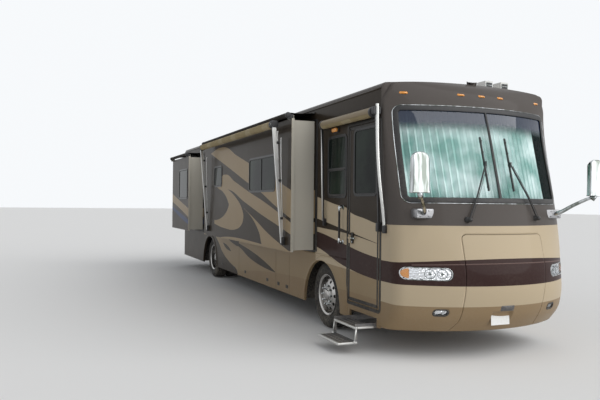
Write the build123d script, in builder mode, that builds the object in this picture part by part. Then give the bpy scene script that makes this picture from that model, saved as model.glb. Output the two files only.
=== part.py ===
# A class A motorhome with a rear engine, about 12.7 m long, parked with its four slide-out rooms out, its
# awnings rolled up, its entry door shut and its double entry step out.
# +X is forward, +Y the driver's (left) side, +Z up; the origin is on the ground, in the middle of the vehicle.
# Millimetres. The curb side, with the entry door, is the right side at -Y.
import math
import os

from build123d import *

os.makedirs("parts", exist_ok=True)

RIGHT = -1
LEFT = 1
SIDES = {"right": RIGHT, "left": LEFT}

# Driving dimensions: the body's width and the wheels' places carry the rest
half_width = 1275
front_axle_x = 3645
wheelbase = 6750
rear_axle_x = front_axle_x - wheelbase

# Body: everything ahead of the front wheels is placed from their axle, the rear from the rear cap's joint
skirt_bottom_z = 315
belt_z = 1090
wall_top_z = 3300
roof_edge_z = 3375
roof_crown_z = 3425
roof_corner_radius = 73
wall_thickness = 45
skirt_thickness = 30
shell_thickness = 40
roof_thickness = 75
seam_gap = 6
door_rear_x = front_axle_x + 870
door_hinge_x = door_rear_x + 853
cap_joint_x = door_hinge_x + 17
rear_joint_x = -5985
body_rear_x = rear_joint_x - 300
floor_bottom_z = 1060
floor_thickness = 60
floor_top_z = floor_bottom_z + floor_thickness

# Wheels and axles
tyre_radius = 488
tyre_width = 280
axle_z = tyre_radius
track_half = half_width - 215
dual_spacing = 320
rim_flange_radius = 305
rim_seat_radius = 288
barrel_radius = 274
kingpin_y = track_half - 165
kingpin_radius = 20
spindle_radius = 34
running_gap = 0.5
arch_half_length = 650
arch_top_z = 1000

# Side openings: the rooms, each with x range, z range and how far its outer face stands out from the body
room_clearance = 15
room_flange = 25
room_panel = 45
room_wall = 40
room_inner_reach = 60
room_right_reach = 410
room_left_reach = 570
front_room_x = (-2045, front_axle_x - 270)
rear_room_x = (rear_joint_x + 80, rear_joint_x + 2150)
front_room_z = (1140, 3110)
rear_room_z = (1140, 3000)
front_room_windows = [(1335, 2675, 2060, 2620), (-1165, -575, 2200, 2600)]
rear_room_windows = [(rear_room_x[0] + 950, rear_room_x[1] - 120, 1950, 2690)]
rooms = {
    # name: (side, x range, z range, reach, windows as (x_rear, x_front, z_low, z_high))
    "right_front": (RIGHT, front_room_x, front_room_z, room_right_reach, front_room_windows),
    "right_rear": (RIGHT, rear_room_x, rear_room_z, room_right_reach, rear_room_windows),
    "left_front": (LEFT, front_room_x, front_room_z, room_left_reach, front_room_windows),
    "left_rear": (LEFT, rear_room_x, rear_room_z, room_left_reach, rear_room_windows),
}

# Fixed side windows: (side, x_rear, x_front, z_low, z_high)
wall_windows = [
    (RIGHT, door_rear_x - 660, door_rear_x - 82, 1960, 2800),
    (LEFT, cap_joint_x - 1235, cap_joint_x - 185, 1960, 2800),
]
window_corner = 60
window_frame = 26
window_proud = 8
pane_depth = 14
pane_thickness = 8

# Entry door, its window and the stairs behind it
door_low_z = 540
door_high_z = 2900
door_thickness = 45
door_window = (door_rear_x + 175, door_hinge_x - 78, 1980, 2830)
hinge_radius = 7
step_slot_z = 430

# Luggage-bay doors, both sides: (x_rear, x_front)
bay_doors = [(1652, front_axle_x - 1302), (-633, 1652), (rear_axle_x + 815, -633)]
bay_post = 15
bay_hinge_z = 1035
bay_door_thickness = 28
bay_hinge_radius = 6

# Windshield opening, seen from the front
shield_half_width = half_width - 110
shield_low_z = 1890
shield_high_z = 3065
shield_corner = 90
divider_half = 10
curtain_inset = 90
curtain_depth = 22

# Front hatch, its sides straight down to the flare and spreading below it, and the rear engine door
hatch_half_width = 592
hatch_flare_z = 480
hatch_foot_half = 636
hatch_high_z = 1510
hatch_hinge_z = 1498
hatch_hinge_half = 130
engine_door_half = 800
engine_door_low_z = 700
engine_door_high_z = 1650

# Louvres pressed out of the engine door
louvre_half = 560
louvre_rows = 9
louvre_low_z = 820
louvre_pitch = 78
louvre_height = 42
louvre_out = 14

# Hitch receiver under the engine door: a square tube with a cross pin hole
receiver_half = 37.5
receiver_bore = 51
receiver_z = 560
receiver_end_x = body_rear_x - 60
pin_hole_x = receiver_end_x + 40
pin_hole_radius = 8
receiver_clearance = 20

# Lamps: headlamp slots and oval fog lamps in the mask
headlamp_y = (half_width - 545, half_width - 35)
headlamp_z = (970, 1122)
headlamp_corner = 70
fog_lamp_y = half_width - 453
fog_lamp_z = 588
fog_lamp_size = (176, 88)
lamp_depth = 34
lamp_gap = 3


def save(part, name):
    """Label a finished piece and write it to its own file."""
    part.label = name
    export_step(part, f"parts/{name}.step")


def span_box(x, y, z, mode=Mode.ADD):
    """A box between two corners, each axis given as (low, high)."""
    with Locations(((x[0] + x[1]) / 2, (y[0] + y[1]) / 2, (z[0] + z[1]) / 2)):
        Box(x[1] - x[0], y[1] - y[0], z[1] - z[0], mode=mode)


def side_box(side, x, depth, z, mode=Mode.ADD):
    """A box on one side of the coach, its y range given as distances from the middle plane."""
    y = sorted((side * depth[0], side * depth[1]))
    span_box(x, y, z, mode)


def side_rectangle(x, z, radius=0):
    """A rectangle in a side sketch, whose local x is the coach's length and local y its height."""
    with Locations(((x[0] + x[1]) / 2, (z[0] + z[1]) / 2)):
        if radius:
            RectangleRounded(x[1] - x[0], z[1] - z[0], radius)
        else:
            Rectangle(x[1] - x[0], z[1] - z[0])


def on_side(part, side):
    """The pieces are drawn for the right side; the left ones are their mirror images."""
    return part if side == RIGHT else part.mirror(Plane.XZ)


# Roof line: flat sides, rounded edges and a low crown
def roof_outline(inset, low_z):
    """The closed cross-section below the roof line, its local x being the coach's y."""
    y = half_width - inset
    radius = roof_corner_radius - min(inset, roof_corner_radius - 5)
    edge_z = roof_edge_z - inset
    with BuildSketch() as outline:
        with BuildLine():
            Polyline((-y, edge_z - radius), (-y, low_z), (y, low_z), (y, edge_z - radius))
            RadiusArc((y, edge_z - radius), (y - radius, edge_z), -radius)
            ThreePointArc((y - radius, edge_z), (0, roof_crown_z - inset), (-y + radius, edge_z))
            RadiusArc((-y + radius, edge_z), (-y, edge_z - radius), -radius)
        make_face()
    return outline.sketch


with BuildPart() as roof_shell:
    with BuildSketch(Plane.YZ.offset(rear_joint_x)):
        add(roof_outline(0, wall_top_z))
        with BuildLine():
            ThreePointArc(
                (half_width - wall_thickness, wall_top_z),
                (0, roof_crown_z - roof_thickness),
                (wall_thickness - half_width, wall_top_z),
            )
            Line((wall_thickness - half_width, wall_top_z), (half_width - wall_thickness, wall_top_z))
        make_face(mode=Mode.SUBTRACT)
    extrude(amount=cap_joint_x - rear_joint_x)
save(roof_shell.part, "roof_shell")

# Front cap: plan sections from the lower edge to the roof, bowed forward in the middle with rounded corners
front_sections = [
    # z, how far the nose stands ahead of the joint, bow, corner_radius
    (340, 650, 430, 240),
    (500, 795, 440, 250),
    (850, 890, 440, 250),
    (1180, 895, 440, 250),
    (1600, 772, 440, 250),
    (1880, 714, 440, 250),
    (3080, 370, 330, 55),
    (3200, 330, 290, 55),
    (3300, 262, 220, 50),
    (3365, 190, 145, 45),
    (3432, 70, 30, 35),
]


# The caps' volumes stand this far past the roof outline that trims them
cut_overlap = 1


def front_volume(inset, back_x=cap_joint_x, low_extra=0):
    """The full front body up to a surface that lies inset inside the outer one."""
    half = half_width - inset + cut_overlap
    with BuildPart() as volume:
        for index, (z, nose_reach, bow, corner_radius) in enumerate(front_sections):
            section_z = z - low_extra if index == 0 else z
            nose = cap_joint_x + nose_reach - inset
            edge_x = nose - bow
            with BuildSketch(Plane.XY.offset(section_z)):
                with BuildLine():
                    Polyline((edge_x, -half), (back_x, -half), (back_x, half), (edge_x, half))
                    ThreePointArc((edge_x, half), (nose, 0), (edge_x, -half))
                corners = make_face()
                front_corners = corners.vertices().sort_by(Axis.X)[-2:]
                fillet(front_corners, max(corner_radius - inset, 20))
        loft(ruled=True)
        with BuildSketch(Plane.YZ.offset(back_x - 10)):
            add(roof_outline(inset, 0))
        extrude(amount=2000, mode=Mode.INTERSECT)
    return volume.part


def front_x(y, z):
    """The x of the front's outer surface at a given y and z, away from its rounded corners."""
    rows = list(zip(front_sections, front_sections[1:]))
    low, high = next((pair for pair in rows if z <= pair[1][0]), rows[-1])
    share = (z - low[0]) / (high[0] - low[0])
    nose = cap_joint_x + low[1] + share * (high[1] - low[1])
    bow = low[2] + share * (high[2] - low[2])
    radius = (half_width**2 + bow**2) / (2 * bow)
    return nose - radius + math.sqrt(radius**2 - y**2)


def lamp_prisms(shrink):
    """The headlamps' and fog lamps' outlines as prisms along X."""
    with BuildPart() as prisms:
        with BuildSketch(Plane.YZ.offset(cap_joint_x + 20)):
            for side in (RIGHT, LEFT):
                with Locations((side * (headlamp_y[0] + headlamp_y[1]) / 2, (headlamp_z[0] + headlamp_z[1]) / 2)):
                    length = headlamp_y[1] - headlamp_y[0] - 2 * shrink
                    RectangleRounded(length, headlamp_z[1] - headlamp_z[0] - 2 * shrink, headlamp_corner - shrink)
                with Locations((side * fog_lamp_y, fog_lamp_z)):
                    SlotOverall(fog_lamp_size[0] - 2 * shrink, fog_lamp_size[1] - 2 * shrink)
        extrude(amount=1200)
    return prisms.part


def shield_prism(grow):
    """The windshield opening as a prism along X, grown or shrunk all round."""
    with BuildPart() as prism:
        with BuildSketch(Plane.YZ.offset(cap_joint_x - 50)):
            with Locations((0, (shield_low_z + shield_high_z) / 2)):
                height = shield_high_z - shield_low_z + 2 * grow
                RectangleRounded(2 * (shield_half_width + grow), height, shield_corner + grow)
        extrude(amount=1200)
    return prism.part


def hatch_prism(shrink):
    """The front hatch's outline as a prism along X, open below the front's lower edge."""
    with BuildPart() as prism:
        high_z = hatch_high_z - shrink
        half = hatch_half_width - shrink
        foot_half = hatch_foot_half - shrink
        with BuildSketch(Plane.YZ.offset(cap_joint_x + 50)):
            with BuildLine():
                Polyline(
                    (-foot_half, shrink),
                    (-foot_half, front_sections[0][0]),
                    (-half, hatch_flare_z),
                    (-half, high_z),
                    (half, high_z),
                    (half, hatch_flare_z),
                    (foot_half, front_sections[0][0]),
                    (foot_half, shrink),
                    close=True,
                )
            make_face()
        extrude(amount=1200)
        fillet(prism.edges().filter_by(Axis.X).group_by(Axis.Z)[-1], 60)
    return prism.part


outer_front = front_volume(0)
inner_front = front_volume(shell_thickness, back_x=cap_joint_x - 30, low_extra=20)

with BuildPart() as front_cap:
    add(outer_front)
    add(inner_front, mode=Mode.SUBTRACT)
    add(shield_prism(0), mode=Mode.SUBTRACT)
    add(hatch_prism(0), mode=Mode.SUBTRACT)
    add(lamp_prisms(0), mode=Mode.SUBTRACT)
save(front_cap.part, "front_cap")

with BuildPart() as front_lamps:
    add(outer_front)
    add(front_volume(lamp_depth, back_x=cap_joint_x - 30, low_extra=20), mode=Mode.SUBTRACT)
    add(lamp_prisms(lamp_gap), mode=Mode.INTERSECT)
save(front_lamps.part, "front_lamps")

with BuildPart() as front_hatch:
    add(outer_front)
    add(inner_front, mode=Mode.SUBTRACT)
    add(hatch_prism(seam_gap), mode=Mode.INTERSECT)
    with BuildSketch(Plane.XZ.offset(-hatch_hinge_half)):
        with Locations((front_x(0, hatch_hinge_z), hatch_hinge_z)):
            Circle(bay_hinge_radius)
    extrude(amount=2 * hatch_hinge_half)
save(front_hatch.part, "front_hatch")

glass_front = front_volume(10)
glass_back = front_volume(18, back_x=cap_joint_x - 30, low_extra=20)

with BuildPart() as windshield_glass:
    add(glass_front)
    add(glass_back, mode=Mode.SUBTRACT)
    add(shield_prism(-2), mode=Mode.INTERSECT)
    span_box((cap_joint_x, 6400), (-divider_half, divider_half), (shield_low_z - 50, shield_high_z + 50), Mode.SUBTRACT)
save(windshield_glass.part, "windshield_glass")

trim_front = front_volume(-7)
with BuildPart() as windshield_trim:
    add(trim_front)
    add(outer_front, mode=Mode.SUBTRACT)
    add(shield_prism(24), mode=Mode.INTERSECT)
    add(shield_prism(-14), mode=Mode.SUBTRACT)
save(windshield_trim.part, "windshield_trim")

with BuildPart() as windshield_curtain:
    add(front_volume(curtain_inset, back_x=cap_joint_x - 300))
    add(front_volume(curtain_inset + curtain_depth, back_x=cap_joint_x - 300, low_extra=20), mode=Mode.SUBTRACT)
    span_box((cap_joint_x + 80, 6400), (-1180, 1180), (shield_low_z - 60, shield_high_z + 40), Mode.INTERSECT)
save(windshield_curtain.part, "windshield_curtain")

# Rear cap: rounded corners in plan, open below, with the engine door's opening
rear_corner_radius = 160


def rear_volume(inset):
    with BuildPart() as volume:
        with BuildSketch(Plane.XY.offset(skirt_bottom_z - inset)):
            rear_x = body_rear_x + inset
            joint_x = rear_joint_x + inset
            with Locations(((rear_x + joint_x) / 2, 0)):
                Rectangle(joint_x - rear_x, 2 * (half_width - inset + cut_overlap))
        extrude(amount=roof_crown_z)
        rear_edges = volume.edges().filter_by(Axis.Z).group_by(Axis.X)[0]
        fillet(rear_edges, rear_corner_radius - inset)
        with BuildSketch(Plane.YZ.offset(body_rear_x)):
            add(roof_outline(inset, 0))
        extrude(amount=600, mode=Mode.INTERSECT)
    return volume.part


with BuildPart() as rear_cap:
    add(rear_volume(0))
    add(rear_volume(shell_thickness), mode=Mode.SUBTRACT)
    span_box(
        (body_rear_x - 10, body_rear_x + 60),
        (-engine_door_half, engine_door_half),
        (engine_door_low_z, engine_door_high_z),
        Mode.SUBTRACT,
    )
    receiver_cut = receiver_half + receiver_clearance
    span_box(
        (body_rear_x - 10, body_rear_x + 60),
        (-receiver_cut, receiver_cut),
        (receiver_z - receiver_cut, receiver_z + receiver_cut),
        Mode.SUBTRACT,
    )
save(rear_cap.part, "rear_cap")

with BuildPart() as engine_door:
    door_half = engine_door_half - seam_gap
    door_z = (engine_door_low_z + seam_gap, engine_door_high_z - 2 * seam_gap)
    span_box((body_rear_x, body_rear_x + shell_thickness), (-door_half, door_half), door_z)
    with BuildSketch(Plane.XZ.offset(-door_half)):
        with Locations((body_rear_x, door_z[1])):
            Circle(bay_hinge_radius)
    extrude(amount=2 * door_half)
    for row in range(louvre_rows):
        louvre_z = louvre_low_z + row * louvre_pitch
        with BuildSketch(Plane.XZ.offset(-louvre_half)):
            with BuildLine():
                Polyline(
                    (body_rear_x + 5, louvre_z),
                    (body_rear_x - louvre_out, louvre_z),
                    (body_rear_x, louvre_z + louvre_height),
                    (body_rear_x + 5, louvre_z + louvre_height),
                    close=True,
                )
            make_face()
        extrude(amount=2 * louvre_half)
save(engine_door.part, "engine_door")


# Side walls, each with its openings for rooms, windows and, on the right, the entry door
def side_wall(side):
    with BuildPart() as wall:
        with BuildSketch(Plane.XZ.offset(half_width)):
            side_rectangle((rear_joint_x, cap_joint_x), (belt_z, wall_top_z))
            for room_side, x, z, reach, windows in rooms.values():
                if room_side == side:
                    with Locations(((x[0] + x[1]) / 2, (z[0] + z[1]) / 2)):
                        length = x[1] - x[0] + 2 * room_clearance
                        Rectangle(length, z[1] - z[0] + 2 * room_clearance, mode=Mode.SUBTRACT)
            for window_side, x_rear, x_front, z_low, z_high in wall_windows:
                if window_side == side:
                    with Locations(((x_rear + x_front) / 2, (z_low + z_high) / 2)):
                        RectangleRounded(x_front - x_rear, z_high - z_low, window_corner, mode=Mode.SUBTRACT)
            if side == RIGHT:
                with Locations(((door_rear_x + cap_joint_x) / 2, (belt_z + door_high_z) / 2)):
                    Rectangle(cap_joint_x - door_rear_x, door_high_z - belt_z, mode=Mode.SUBTRACT)
        extrude(amount=-wall_thickness)
    return on_side(wall.part, side)


# Skirts below the belt: wheel arches, luggage-bay openings and, on the right, the entry door and the step's slot
def side_skirt(side):
    with BuildPart() as skirt:
        with BuildSketch(Plane.XZ.offset(half_width)):
            side_rectangle((rear_joint_x, cap_joint_x), (skirt_bottom_z, belt_z))
            for axle_x in (front_axle_x, rear_axle_x):
                with Locations((axle_x, skirt_bottom_z)):
                    Ellipse(arch_half_length, arch_top_z - skirt_bottom_z, mode=Mode.SUBTRACT)
            for x_rear, x_front in bay_doors:
                opening_z = bay_hinge_z + 2 * seam_gap
                with Locations(((x_rear + x_front) / 2, (skirt_bottom_z + opening_z) / 2)):
                    Rectangle(x_front - x_rear - 2 * bay_post, opening_z - skirt_bottom_z, mode=Mode.SUBTRACT)
            if side == RIGHT:
                with Locations(((door_rear_x + cap_joint_x) / 2, (door_low_z + belt_z) / 2)):
                    Rectangle(cap_joint_x - door_rear_x, belt_z - door_low_z, mode=Mode.SUBTRACT)
                with Locations(((door_rear_x + cap_joint_x) / 2, (skirt_bottom_z + step_slot_z) / 2)):
                    slot_length = cap_joint_x - door_rear_x - 120
                    Rectangle(slot_length, step_slot_z - skirt_bottom_z, mode=Mode.SUBTRACT)
        extrude(amount=-skirt_thickness)
    return on_side(skirt.part, side)


for side_name, side in SIDES.items():
    save(side_wall(side), f"wall_{side_name}")
    save(side_skirt(side), f"skirt_{side_name}")


def bay_door(x_rear, x_front, side):
    """A luggage-bay door, hinged along its upper edge."""
    x_low = x_rear + bay_post + seam_gap
    x_high = x_front - bay_post - seam_gap
    with BuildPart() as door:
        with BuildSketch(Plane.XZ.offset(half_width)):
            side_rectangle((x_low, x_high), (skirt_bottom_z, bay_hinge_z))
        extrude(amount=-bay_door_thickness)
        with BuildSketch(Plane.YZ.offset(x_low)):
            with Locations((-half_width, bay_hinge_z)):
                Circle(bay_hinge_radius)
        extrude(amount=x_high - x_low)
    return on_side(door.part, side)


for side_name, side in SIDES.items():
    for number, (x_rear, x_front) in enumerate(bay_doors, 1):
        save(bay_door(x_rear, x_front, side), f"bay_door_{side_name}_{number}")


# Slide-out rooms: five panels with a flange round the outer one, open to the cabin, and the topper's roller above
topper_radius = 35
topper_out = 45
topper_up = 75
topper_arm = 30


def room_body(side, x, z, reach, windows):
    x_rear, x_front = x
    z_low, z_high = z
    outer = half_width + reach
    inner = half_width - wall_thickness - room_inner_reach
    with BuildPart() as room:
        with BuildSketch(Plane.XZ.offset(outer - room_panel)):
            side_rectangle((x_rear, x_front), (z_low, z_high))
            with Locations(((x_rear + x_front) / 2, (z_low + z_high) / 2)):
                Rectangle(x_front - x_rear - 2 * room_wall, z_high - z_low - 2 * room_wall, mode=Mode.SUBTRACT)
        extrude(amount=inner - outer + room_panel)
        with BuildSketch(Plane.XZ.offset(outer)):
            flange_x = (x_rear - room_flange, x_front + room_flange)
            side_rectangle(flange_x, (z_low - room_flange, z_high + room_flange))
            for wx_rear, wx_front, wz_low, wz_high in windows:
                with Locations(((wx_rear + wx_front) / 2, (wz_low + wz_high) / 2)):
                    RectangleRounded(wx_front - wx_rear, wz_high - wz_low, window_corner, mode=Mode.SUBTRACT)
        extrude(amount=-room_panel)
        for end_x in (x_rear, x_front - topper_arm):
            arm_y = (outer - room_panel, outer + topper_out)
            side_box(RIGHT, (end_x, end_x + topper_arm), arm_y, (z_high, z_high + topper_up))
        with BuildSketch(Plane.YZ.offset(x_rear)):
            with Locations((-outer - topper_out, z_high + topper_up)):
                Circle(topper_radius)
        extrude(amount=x_front - x_rear)
    return on_side(room.part, side)


def window_unit(x_rear, x_front, z_low, z_high, face, depth):
    """A window as one unit: a frame round the outside of the opening, a sleeve through it and the pane."""
    middle = ((x_rear + x_front) / 2, (z_low + z_high) / 2)
    length = x_front - x_rear
    height = z_high - z_low
    with BuildSketch() as hole:
        RectangleRounded(length - window_frame, height - window_frame, window_corner - window_frame / 2)
    with BuildPart() as unit:
        with BuildSketch(Plane.XZ.offset(face)):
            with Locations(middle):
                outer_corner = window_corner + window_frame
                RectangleRounded(length + 2 * window_frame, height + 2 * window_frame, outer_corner)
                add(hole.sketch, mode=Mode.SUBTRACT)
        extrude(amount=window_proud)
        with BuildSketch(Plane.XZ.offset(face)):
            with Locations(middle):
                RectangleRounded(length, height, window_corner)
                add(hole.sketch, mode=Mode.SUBTRACT)
        extrude(amount=-depth)
        with BuildSketch(Plane.XZ.offset(face - pane_depth)):
            side_rectangle((x_rear + 5, x_front - 5), (z_low + 5, z_high - 5), window_corner - 5)
        extrude(amount=-pane_thickness)
    return unit.part


for room_name, (side, x, z, reach, windows) in rooms.items():
    save(room_body(side, x, z, reach, windows), f"room_{room_name}")
    with BuildPart() as room_windows:
        for window in windows:
            add(window_unit(*window, half_width + reach, room_panel))
    save(on_side(room_windows.part, side), f"room_windows_{room_name}")

with BuildPart() as side_windows:
    for side, *window in wall_windows:
        add(on_side(window_unit(*window, half_width, wall_thickness), side))
save(side_windows.part, "side_windows")

# Entry door, hinged at its front edge, with its window unit and a lever handle
handle_x = door_rear_x + 85
handle_z = 1395
with BuildPart() as entry_door:
    with BuildSketch(Plane.XZ.offset(half_width)):
        side_rectangle((door_rear_x + seam_gap, door_hinge_x), (door_low_z + seam_gap, door_high_z - seam_gap))
        with Locations(((door_window[0] + door_window[1]) / 2, (door_window[2] + door_window[3]) / 2)):
            window_length = door_window[1] - door_window[0]
            window_height = door_window[3] - door_window[2]
            RectangleRounded(window_length, window_height, window_corner, mode=Mode.SUBTRACT)
    extrude(amount=-door_thickness)
    with BuildSketch(Plane.XY.offset(door_low_z + seam_gap)):
        with Locations((door_hinge_x, -half_width)):
            Circle(hinge_radius)
    extrude(amount=door_high_z - door_low_z - 2 * seam_gap)
    plate_y = (half_width, half_width + 25)
    lever_y = (half_width + 25, half_width + 45)
    side_box(RIGHT, (handle_x - 25, handle_x + 25), plate_y, (handle_z - 70, handle_z + 70))
    side_box(RIGHT, (handle_x - 12, handle_x + 110), lever_y, (handle_z - 12, handle_z + 12))
save(entry_door.part, "entry_door")
save(window_unit(*door_window, half_width, door_thickness), "entry_door_window")

# Floor with the stairwell inside the entry door
stair_x = (door_rear_x + 25, cap_joint_x - 30)
stair_depths = [half_width - 47, half_width - 275, half_width - 505, half_width - 735]
stair_sheet = 15
stair_sink = 8
floor_half = half_width - wall_thickness - 2
floor_front_x = cap_joint_x + 215
floor_rear_x = rear_joint_x - 115
with BuildPart() as floor_deck:
    span_box((floor_rear_x, floor_front_x), (-floor_half, floor_half), (floor_bottom_z, floor_top_z))
    side_box(RIGHT, stair_x, (stair_depths[-1], half_width), (floor_bottom_z - 5, floor_top_z + 5), Mode.SUBTRACT)
    riser = (floor_bottom_z - door_low_z) / (len(stair_depths) - 1)
    for step, (near, far) in enumerate(zip(stair_depths, stair_depths[1:])):
        tread_z = door_low_z + step * riser
        side_box(RIGHT, stair_x, (far - stair_sheet, near), (tread_z - stair_sheet, tread_z))
        side_box(RIGHT, stair_x, (far - stair_sheet, far), (tread_z, tread_z + riser + stair_sink))
    cheek_y = (stair_depths[-1] - stair_sheet, stair_depths[0])
    for cheek_x in (stair_x[0] - stair_sheet, stair_x[1]):
        cheek_z = (door_low_z - stair_sheet, floor_bottom_z + stair_sink)
        side_box(RIGHT, (cheek_x, cheek_x + stair_sheet), cheek_y, cheek_z)
save(floor_deck.part, "floor_deck")

# Luggage-bay pan with its bulkheads, under the frame rails
pan_z = 385
pan_sheet = 16
bulkhead_thickness = 20
bulkhead_top_z = 800
bay_half = half_width - skirt_thickness - 10
bulkheads = [bay_doors[2][0] + 20, bay_doors[1][0], bay_doors[0][0], bay_doors[0][1] - 20]
pan_x = (bulkheads[0], bulkheads[-1] + bulkhead_thickness)
with BuildPart() as storage_bays:
    span_box(pan_x, (-bay_half, bay_half), (pan_z, pan_z + pan_sheet))
    for wall_x in bulkheads:
        span_box((wall_x, wall_x + bulkhead_thickness), (-bay_half, bay_half), (pan_z, bulkhead_top_z))
save(storage_bays.part, "storage_bays")

# Chassis frame: two channel rails joined by cross tubes
rail_y = 470
rail_height = floor_bottom_z - bulkhead_top_z
rail_flange = 85
rail_web = 10
rail_x = (rear_joint_x - 115, cap_joint_x - 85)
cross_members = [-5950, -4300, -2400, -700, 1000, 2500, front_axle_x + 655, front_axle_x + 1505]
with BuildPart() as chassis_frame:
    for side in (RIGHT, LEFT):
        with BuildSketch(Plane.YZ.offset(rail_x[0])):
            with Locations((side * (rail_y - rail_flange / 2), bulkhead_top_z + rail_height / 2)):
                Rectangle(rail_flange, rail_height)
            with Locations((side * (rail_y - rail_flange / 2 - rail_web), bulkhead_top_z + rail_height / 2)):
                Rectangle(rail_flange, rail_height - 2 * rail_web, mode=Mode.SUBTRACT)
        extrude(amount=rail_x[1] - rail_x[0])
    for member_x in cross_members:
        with BuildSketch(Plane.XZ.offset(-rail_y + rail_web)):
            with Locations((member_x, bulkhead_top_z + rail_height / 2)):
                Circle(45)
                Circle(38, mode=Mode.SUBTRACT)
        extrude(amount=2 * (rail_y - rail_web))
save(chassis_frame.part, "chassis_frame")

with BuildPart() as engine_block:
    span_box((rear_joint_x + 185, rear_axle_x - 1395), (-340, 340), (500, 1040))
    chamfer(engine_block.edges().filter_by(Axis.X).group_by(Axis.Z)[0], 120)
save(engine_block.part, "engine_block")

# Wheel wells: arched sheets over each wheel
well_half_length = 700
well_depth = (half_width - 675, half_width - 35)
well_sheet = 8
well_corner = 260


def well_outline(inset):
    """The arched outline of a wheel well about its axle; the inner one, which is cut out, is open at the bottom."""
    half = well_half_length - inset
    low_z = skirt_bottom_z + 20 - inset
    high_z = floor_bottom_z - 2 - inset
    corner = well_corner - inset
    with BuildSketch() as outline:
        with BuildLine():
            Polyline((-half, high_z - corner), (-half, low_z), (half, low_z), (half, high_z - corner))
            RadiusArc((half, high_z - corner), (half - corner, high_z), -corner)
            Line((half - corner, high_z), (-half + corner, high_z))
            RadiusArc((-half + corner, high_z), (-half, high_z - corner), -corner)
        make_face()
    return outline.sketch


with BuildPart() as wheel_wells:
    for side in (RIGHT, LEFT):
        outer_face = well_depth[0] if side == RIGHT else -well_depth[1]
        with BuildSketch(Plane.XZ.offset(outer_face)):
            with Locations((front_axle_x, 0), (rear_axle_x, 0)):
                add(well_outline(0))
                add(well_outline(well_sheet), mode=Mode.SUBTRACT)
        extrude(amount=well_depth[1] - well_depth[0])
save(wheel_wells.part, "wheel_wells")


# Wheels: tyre and rim are turned about the axle; local x is the radius, local y points outboard
def wheel_plane(x, y, side):
    return Plane(origin=(x, side * y, axle_z), x_dir=(1, 0, 0), z_dir=(0, 0, side))


def axle_line(x):
    return Axis((x, 0, axle_z), (0, 1, 0))


def tyre(x, y, side):
    half = tyre_width / 2
    bead = half - 24
    shoulder = half - 22
    with BuildPart() as ring:
        with BuildSketch(wheel_plane(x, y, side)):
            with BuildLine():
                Line((rim_seat_radius, -bead), (rim_seat_radius, bead))
                Line((rim_seat_radius, bead), (rim_flange_radius + 8, bead))
                ThreePointArc((rim_flange_radius + 8, bead), (tyre_radius - 95, half), (tyre_radius - 16, shoulder))
                ThreePointArc((tyre_radius - 16, shoulder), (tyre_radius - 4, shoulder - 5), (tyre_radius, shoulder - 16))
                Line((tyre_radius, shoulder - 16), (tyre_radius, 16 - shoulder))
                ThreePointArc((tyre_radius, 16 - shoulder), (tyre_radius - 4, 5 - shoulder), (tyre_radius - 16, -shoulder))
                ThreePointArc((tyre_radius - 16, -shoulder), (tyre_radius - 95, -half), (rim_flange_radius + 8, -bead))
                Line((rim_flange_radius + 8, -bead), (rim_seat_radius, -bead))
            make_face()
        revolve(axis=axle_line(x))
    return ring.part


hand_holes = 10
hand_hole_circle = 204
hand_hole_radius = 24
hand_hole_start = 40
disc_thickness = 14
hub_bore = spindle_radius + running_gap


def barrel_outline(rim_half):
    """The rolled rim: flanges, seats and barrel as one closed outline, radius by width."""
    with BuildSketch() as outline:
        with BuildLine():
            Polyline(
                (barrel_radius, -rim_half + 8),
                (rim_flange_radius - 8, -rim_half - 6),
                (rim_flange_radius, -rim_half - 6),
                (rim_flange_radius, -rim_half),
                (rim_seat_radius, -rim_half),
                (rim_seat_radius, rim_half),
                (rim_flange_radius, rim_half),
                (rim_flange_radius, rim_half + 6),
                (rim_flange_radius - 8, rim_half + 6),
                (barrel_radius, rim_half - 8),
                close=True,
            )
        make_face()
    return outline.sketch


def disc_outline(face, dish):
    """The dished wheel disc, from the hub face to the barrel."""
    with BuildSketch() as outline:
        with BuildLine():
            Polyline(
                (hub_bore, face),
                (165, face),
                (235, face - dish * 0.45),
                (barrel_radius + 3, face - dish),
                (barrel_radius + 3, face - dish - disc_thickness),
                (232, face - dish * 0.45 - disc_thickness),
                (163, face - disc_thickness),
                (hub_bore, face - disc_thickness),
                close=True,
            )
        make_face()
    return outline.sketch


rim_half = tyre_width / 2 - 20
front_face = 112
front_dish = 75
hub_cap_radius = 78
hub_cap_reach = 150
drum_radius = 205


def hub_cap_outline():
    with BuildSketch() as outline:
        with BuildLine():
            Polyline(
                (0, front_face - 1),
                (hub_cap_radius + 22, front_face - 1),
                (hub_cap_radius, front_face + 10),
                (hub_cap_radius, hub_cap_reach - 22),
                (hub_cap_radius - 8, hub_cap_reach - 10),
                (hub_cap_radius - 26, hub_cap_reach - 3),
                (hub_cap_radius - 50, hub_cap_reach),
                (0, hub_cap_reach),
                close=True,
            )
        make_face()
    return outline.sketch


def drum_outline():
    """The hub behind the disc, widening into the brake drum."""
    with BuildSketch() as outline:
        with BuildLine():
            Polyline(
                (hub_bore, front_face - disc_thickness + 1),
                (110, front_face - disc_thickness + 1),
                (110, 20),
                (drum_radius, 10),
                (drum_radius, -70),
                (drum_radius - 18, -70),
                (drum_radius - 18, -5),
                (hub_bore, -5),
                close=True,
            )
        make_face()
    return outline.sketch


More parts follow.
